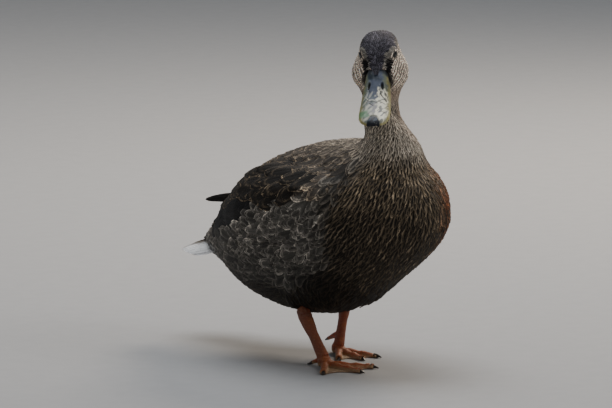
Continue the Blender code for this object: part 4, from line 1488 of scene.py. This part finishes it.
def make_tail():
    """Nine pairs of tail feathers, the middle pair on top and the pale outer pairs lowest."""
    order = np.linspace(-1.0, 1.0, TAIL_FEATHERS)
    out = np.abs(order)
    along = vane_rows(BIG_ROWS)
    root_x = order * TAIL_ROOT_HALF
    tip_x = np.sign(order) * TAIL_HALF * np.sin(out * np.pi / 2.0) * 0.95
    tip_ahead = TAIL_TIP + TAIL_STEP * out**1.7
    x = root_x[:, None] + (tip_x - root_x)[:, None] * along[None] ** 1.15
    ahead = TAIL_ROOT + (tip_ahead - TAIL_ROOT)[:, None] * along[None]
    level = line_at(-ahead, TAIL_LEVELS)
    drop = 0.0064 * out[:, None] ** 2 * (0.4 + 0.6 * along[None]) + 0.0024 * out[:, None]
    z = level - drop + 0.0036 * (1.0 - out[:, None])
    paths = np.stack([x, -ahead, z], 2)
    tilt = order[:, None] * 0.75
    sideways = np.stack([np.cos(tilt), 0 * tilt, -np.sin(tilt)], 2)
    widths = np.full(TAIL_FEATHERS, TAIL_WIDTH)
    lengths = np.full(TAIL_FEATHERS, TAIL_LENGTH)
    places = swept(paths, sideways, np.array([0.0, 0.0, 1.0]), widths, 0.25, 0.10)
    white = smooth(0.20, 0.55, out)[:, None]
    tone = linear((70, 60, 52)) * (1.0 - white) + linear((255, 255, 255)) * white
    rim = linear((170, 156, 136)) * (1.0 - white) + linear((255, 255, 255)) * white
    marks = np.tile([0.26, 0.5, 0.0], (TAIL_FEATHERS, 1))
    tail = vane_mesh("tail_vanes", places, lengths, widths, tone, rim, marks, paths[:, 4])
    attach(tail, "root")
    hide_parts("tail")


# from the tip's root to its end: out from the middle, ahead, height
TIP_LINES = {
    "left": ((0.0420, -0.0400, 0.1300), (0.0340, -0.0640, 0.1250), (0.0220, -0.0930, 0.1215),
             (0.0105, -0.1215, 0.1190), (0.0030, -0.1435, 0.1150)),
    "right": ((0.0420, -0.0400, 0.1300), (0.0350, -0.0620, 0.1215), (0.0270, -0.0830, 0.1130),
              (0.0180, -0.1025, 0.1050), (0.0135, -0.1135, 0.1000)),
}
TIP_LEAN = math.radians(42.0)
PRIMARIES = 7
# how much shorter each is than the last, as a share of the first
PRIMARY_STEP = 0.055
PRIMARY_WIDTH = 0.0125
PRIMARY_LENGTH = 0.105


def make_wing_tip(side):
    """The folded primaries: long narrow near-black vanes, each a little shorter than the last."""
    sign = SIGNS[side]
    rank = np.arange(PRIMARIES)
    end = 1.0 - PRIMARY_STEP * rank
    along = vane_rows(BIG_ROWS)
    share = end[:, None] * along[None]
    line = curve_at(TIP_LINES[side], share)
    down = np.array([math.sin(TIP_LEAN) * sign, 0.0, -math.cos(TIP_LEAN)])
    outward = np.array([math.cos(TIP_LEAN) * sign, 0.0, math.sin(TIP_LEAN)])
    paths = np.stack([line[..., 0] * sign, -line[..., 1], line[..., 2]], 2)
    shift = (0.0011 * rank - 0.0012)[:, None, None]
    paths = paths + down * shift + outward * (0.00045 * (rank - 2.5))[:, None, None]
    widths = np.full(PRIMARIES, PRIMARY_WIDTH)
    lengths = end * PRIMARY_LENGTH
    places = swept(paths, down, outward, widths, 0.45, 0.12)
    tone = np.tile(linear((27, 25, 25)), (PRIMARIES, 1)) * np.linspace(0.85, 1.2, PRIMARIES)[:, None]
    rim = np.tile(linear((56, 50, 45)), (PRIMARIES, 1))
    marks = np.tile([0.10, 0.0, 0.0], (PRIMARIES, 1))
    tip = vane_mesh(f"primaries_{side}", places, lengths, widths, tone, rim, marks, paths[:, 4])
    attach(tip, "root")
    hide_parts(f"wing_tip_{side}")


def wing_place(side, ahead, down_share):
    """A place on the folded wing: how far ahead, and from its upper edge (-1) to its lower (1)."""
    sign = SIGNS[side]
    rows = np.array(WING)[::-1]
    out = np.interp(ahead, rows[:, 0], rows[:, 1])
    z = np.interp(ahead, rows[:, 0], rows[:, 2])
    half = np.interp(ahead, rows[:, 0], rows[:, 3])
    lean = np.radians(np.interp(ahead, rows[:, 0], rows[:, 4]))
    across = out + half * down_share * np.sin(lean) + 0.012 * np.cos(lean)
    rise = z - half * down_share * np.cos(lean) + 0.012 * np.sin(lean)
    return np.stack([across * sign, -ahead, rise], -1)


# rows of larger wing feathers: first and last place ahead, share down the wing, count; length, width
# and lift in millimetres; centre colour, edge colour, edge share, bars
WING_ROWS = (
    (0.010, -0.050, 0.62, 7, 58.0, 13.0, 1.6, (11, 11, 12), (24, 23, 23), 0.10, 0.0),
    (0.020, -0.045, 0.20, 6, 62.0, 15.0, 2.1, (13, 12, 13), (30, 28, 27), 0.10, 0.0),
    (0.030, -0.035, -0.20, 5, 66.0, 16.0, 2.8, (36, 31, 27), (140, 120, 96), 0.12, 0.0),
    (0.062, -0.040, -0.05, 9, 38.0, 15.0, 3.2, (26, 22, 18), (168, 146, 116), 0.14, 0.35),
    (0.078, -0.045, -0.42, 10, 40.0, 16.0, 3.7, (28, 23, 19), (172, 150, 120), 0.14, 0.45),
    (0.086, -0.035, -0.80, 10, 36.0, 15.0, 4.0, (27, 23, 19), (158, 138, 112), 0.15, 0.45),
)


def make_wing_rows(side):
    """Rows of large feathers over the folded wing, walked over the skin like the coat."""
    rng = np.random.default_rng(61 if side == "left" else 62)
    roots = []
    facts = []
    for first, last, down, count, length, width, lift, tone, rim, part, bars in WING_ROWS:
        ahead = np.linspace(first, last, count) + rng.normal(0.0, 0.0015, count)
        depth_share = down + rng.normal(0.0, 0.05, count)
        roots.append(wing_place(side, ahead, depth_share))
        for _ in range(count):
            facts.append((length * MM, width * MM, lift * MM, *linear(tone), *linear(rim), part, bars))
    roots, normals = to_skin(np.concatenate(roots))
    facts = np.array(facts)
    scale = rng.normal(1.0, 0.06, len(facts))
    shade = np.exp(rng.normal(0.0, 0.12, (len(facts), 1)))
    lengths = facts[:, 0] * scale
    widths = facts[:, 1] * scale
    places = walked(roots, normals, lengths, widths, facts[:, 2], BIG_ROWS, BIG_COLUMNS, 0.10, 63, 3.0)
    marks = np.concatenate([facts[:, 9:11], np.zeros((len(facts), 1))], 1)
    tone = facts[:, 3:6] * shade
    rim = facts[:, 6:9] * shade
    wing = vane_mesh(f"wing_vanes_{side}", places, lengths, widths, tone, rim, marks, roots)
    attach(wing, "root")


# ---- the stage ----
CAMERA_AZIMUTH = math.radians(-38.0)
CAMERA_ELEVATION = math.radians(8.0)
CAMERA_TARGET = Vector((0.0, 0.003, 0.127))
CAMERA_DISTANCE = 5.67
CAMERA_LENS = 400.0
LIGHT_AIM = Vector((0.0, 0.0, 0.12))
FLOOR_HALF = 12.0
# name, place, size, power, colour
LIGHTS = (
    ("sky", (0.3, 0.6, 2.6), 2.2, 50.0, (0.95, 0.97, 1.0)),
    ("back_warm", (1.5, 0.7, 1.3), 0.8, 26.0, (1.0, 0.86, 0.70)),
    ("front_fill", (1.1, -2.4, 1.7), 1.4, 19.0, (0.99, 0.98, 0.98)),
)


def make_camera():
    level = math.cos(CAMERA_ELEVATION)
    back = Vector(
        (math.sin(CAMERA_AZIMUTH) * level, -math.cos(CAMERA_AZIMUTH) * level, math.sin(CAMERA_ELEVATION))
    )
    data = bpy.data.cameras.new("camera")
    data.lens = CAMERA_LENS
    data.sensor_width = 36.0
    data.clip_start = 0.1
    data.clip_end = 60.0
    camera = in_scene("camera", data)
    camera.location = CAMERA_TARGET + back * CAMERA_DISTANCE
    camera.rotation_euler = (-back).to_track_quat("-Z", "Y").to_euler()
    bpy.context.scene.camera = camera


def area_light(name, place, size, power, colour):
    data = bpy.data.lights.new(name, "AREA")
    data.shape = "DISK"
    data.size = size
    data.energy = power
    data.color = colour
    light = in_scene(name, data)
    light.location = place
    light.rotation_euler = (LIGHT_AIM - Vector(place)).to_track_quat("-Z", "Y").to_euler()


def make_stage():
    verts = [(FLOOR_HALF * a, FLOOR_HALF * b, 0.0) for a, b in ((-1, -1), (1, -1), (1, 1), (-1, 1))]
    floor = new_object("floor", verts, [(0, 1, 2, 3)])
    n = Nodes("floor")
    tint = n.mix(n.noise(60.0, 4.0), (0.38, 0.38, 0.385), (0.43, 0.43, 0.43))
    floor.data.materials.append(n.finish(tint, 0.9, Specular_IOR_Level=0.2))
    for facts in LIGHTS:
        area_light(*facts)
    world = bpy.data.worlds.new("studio")
    world.use_nodes = True
    background = world.node_tree.nodes["Background"]
    background.inputs[0].default_value = (0.62, 0.64, 0.66, 1.0)
    background.inputs[1].default_value = 0.34
    bpy.context.scene.world = world


make_camera()
make_stage()
skin.data.materials.append(skin_material())
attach(skin, "root")
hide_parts(*FLESH, "wing_left", "wing_right")
for piece in make_coat():
    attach(piece, "root")
make_bill_point()
make_bill()
for side in SIGNS:
    lid_ring(side)
    make_eye(side)
make_tail()
for side in SIGNS:
    make_leg(side)
    make_wing_tip(side)
    make_wing_rows(side)
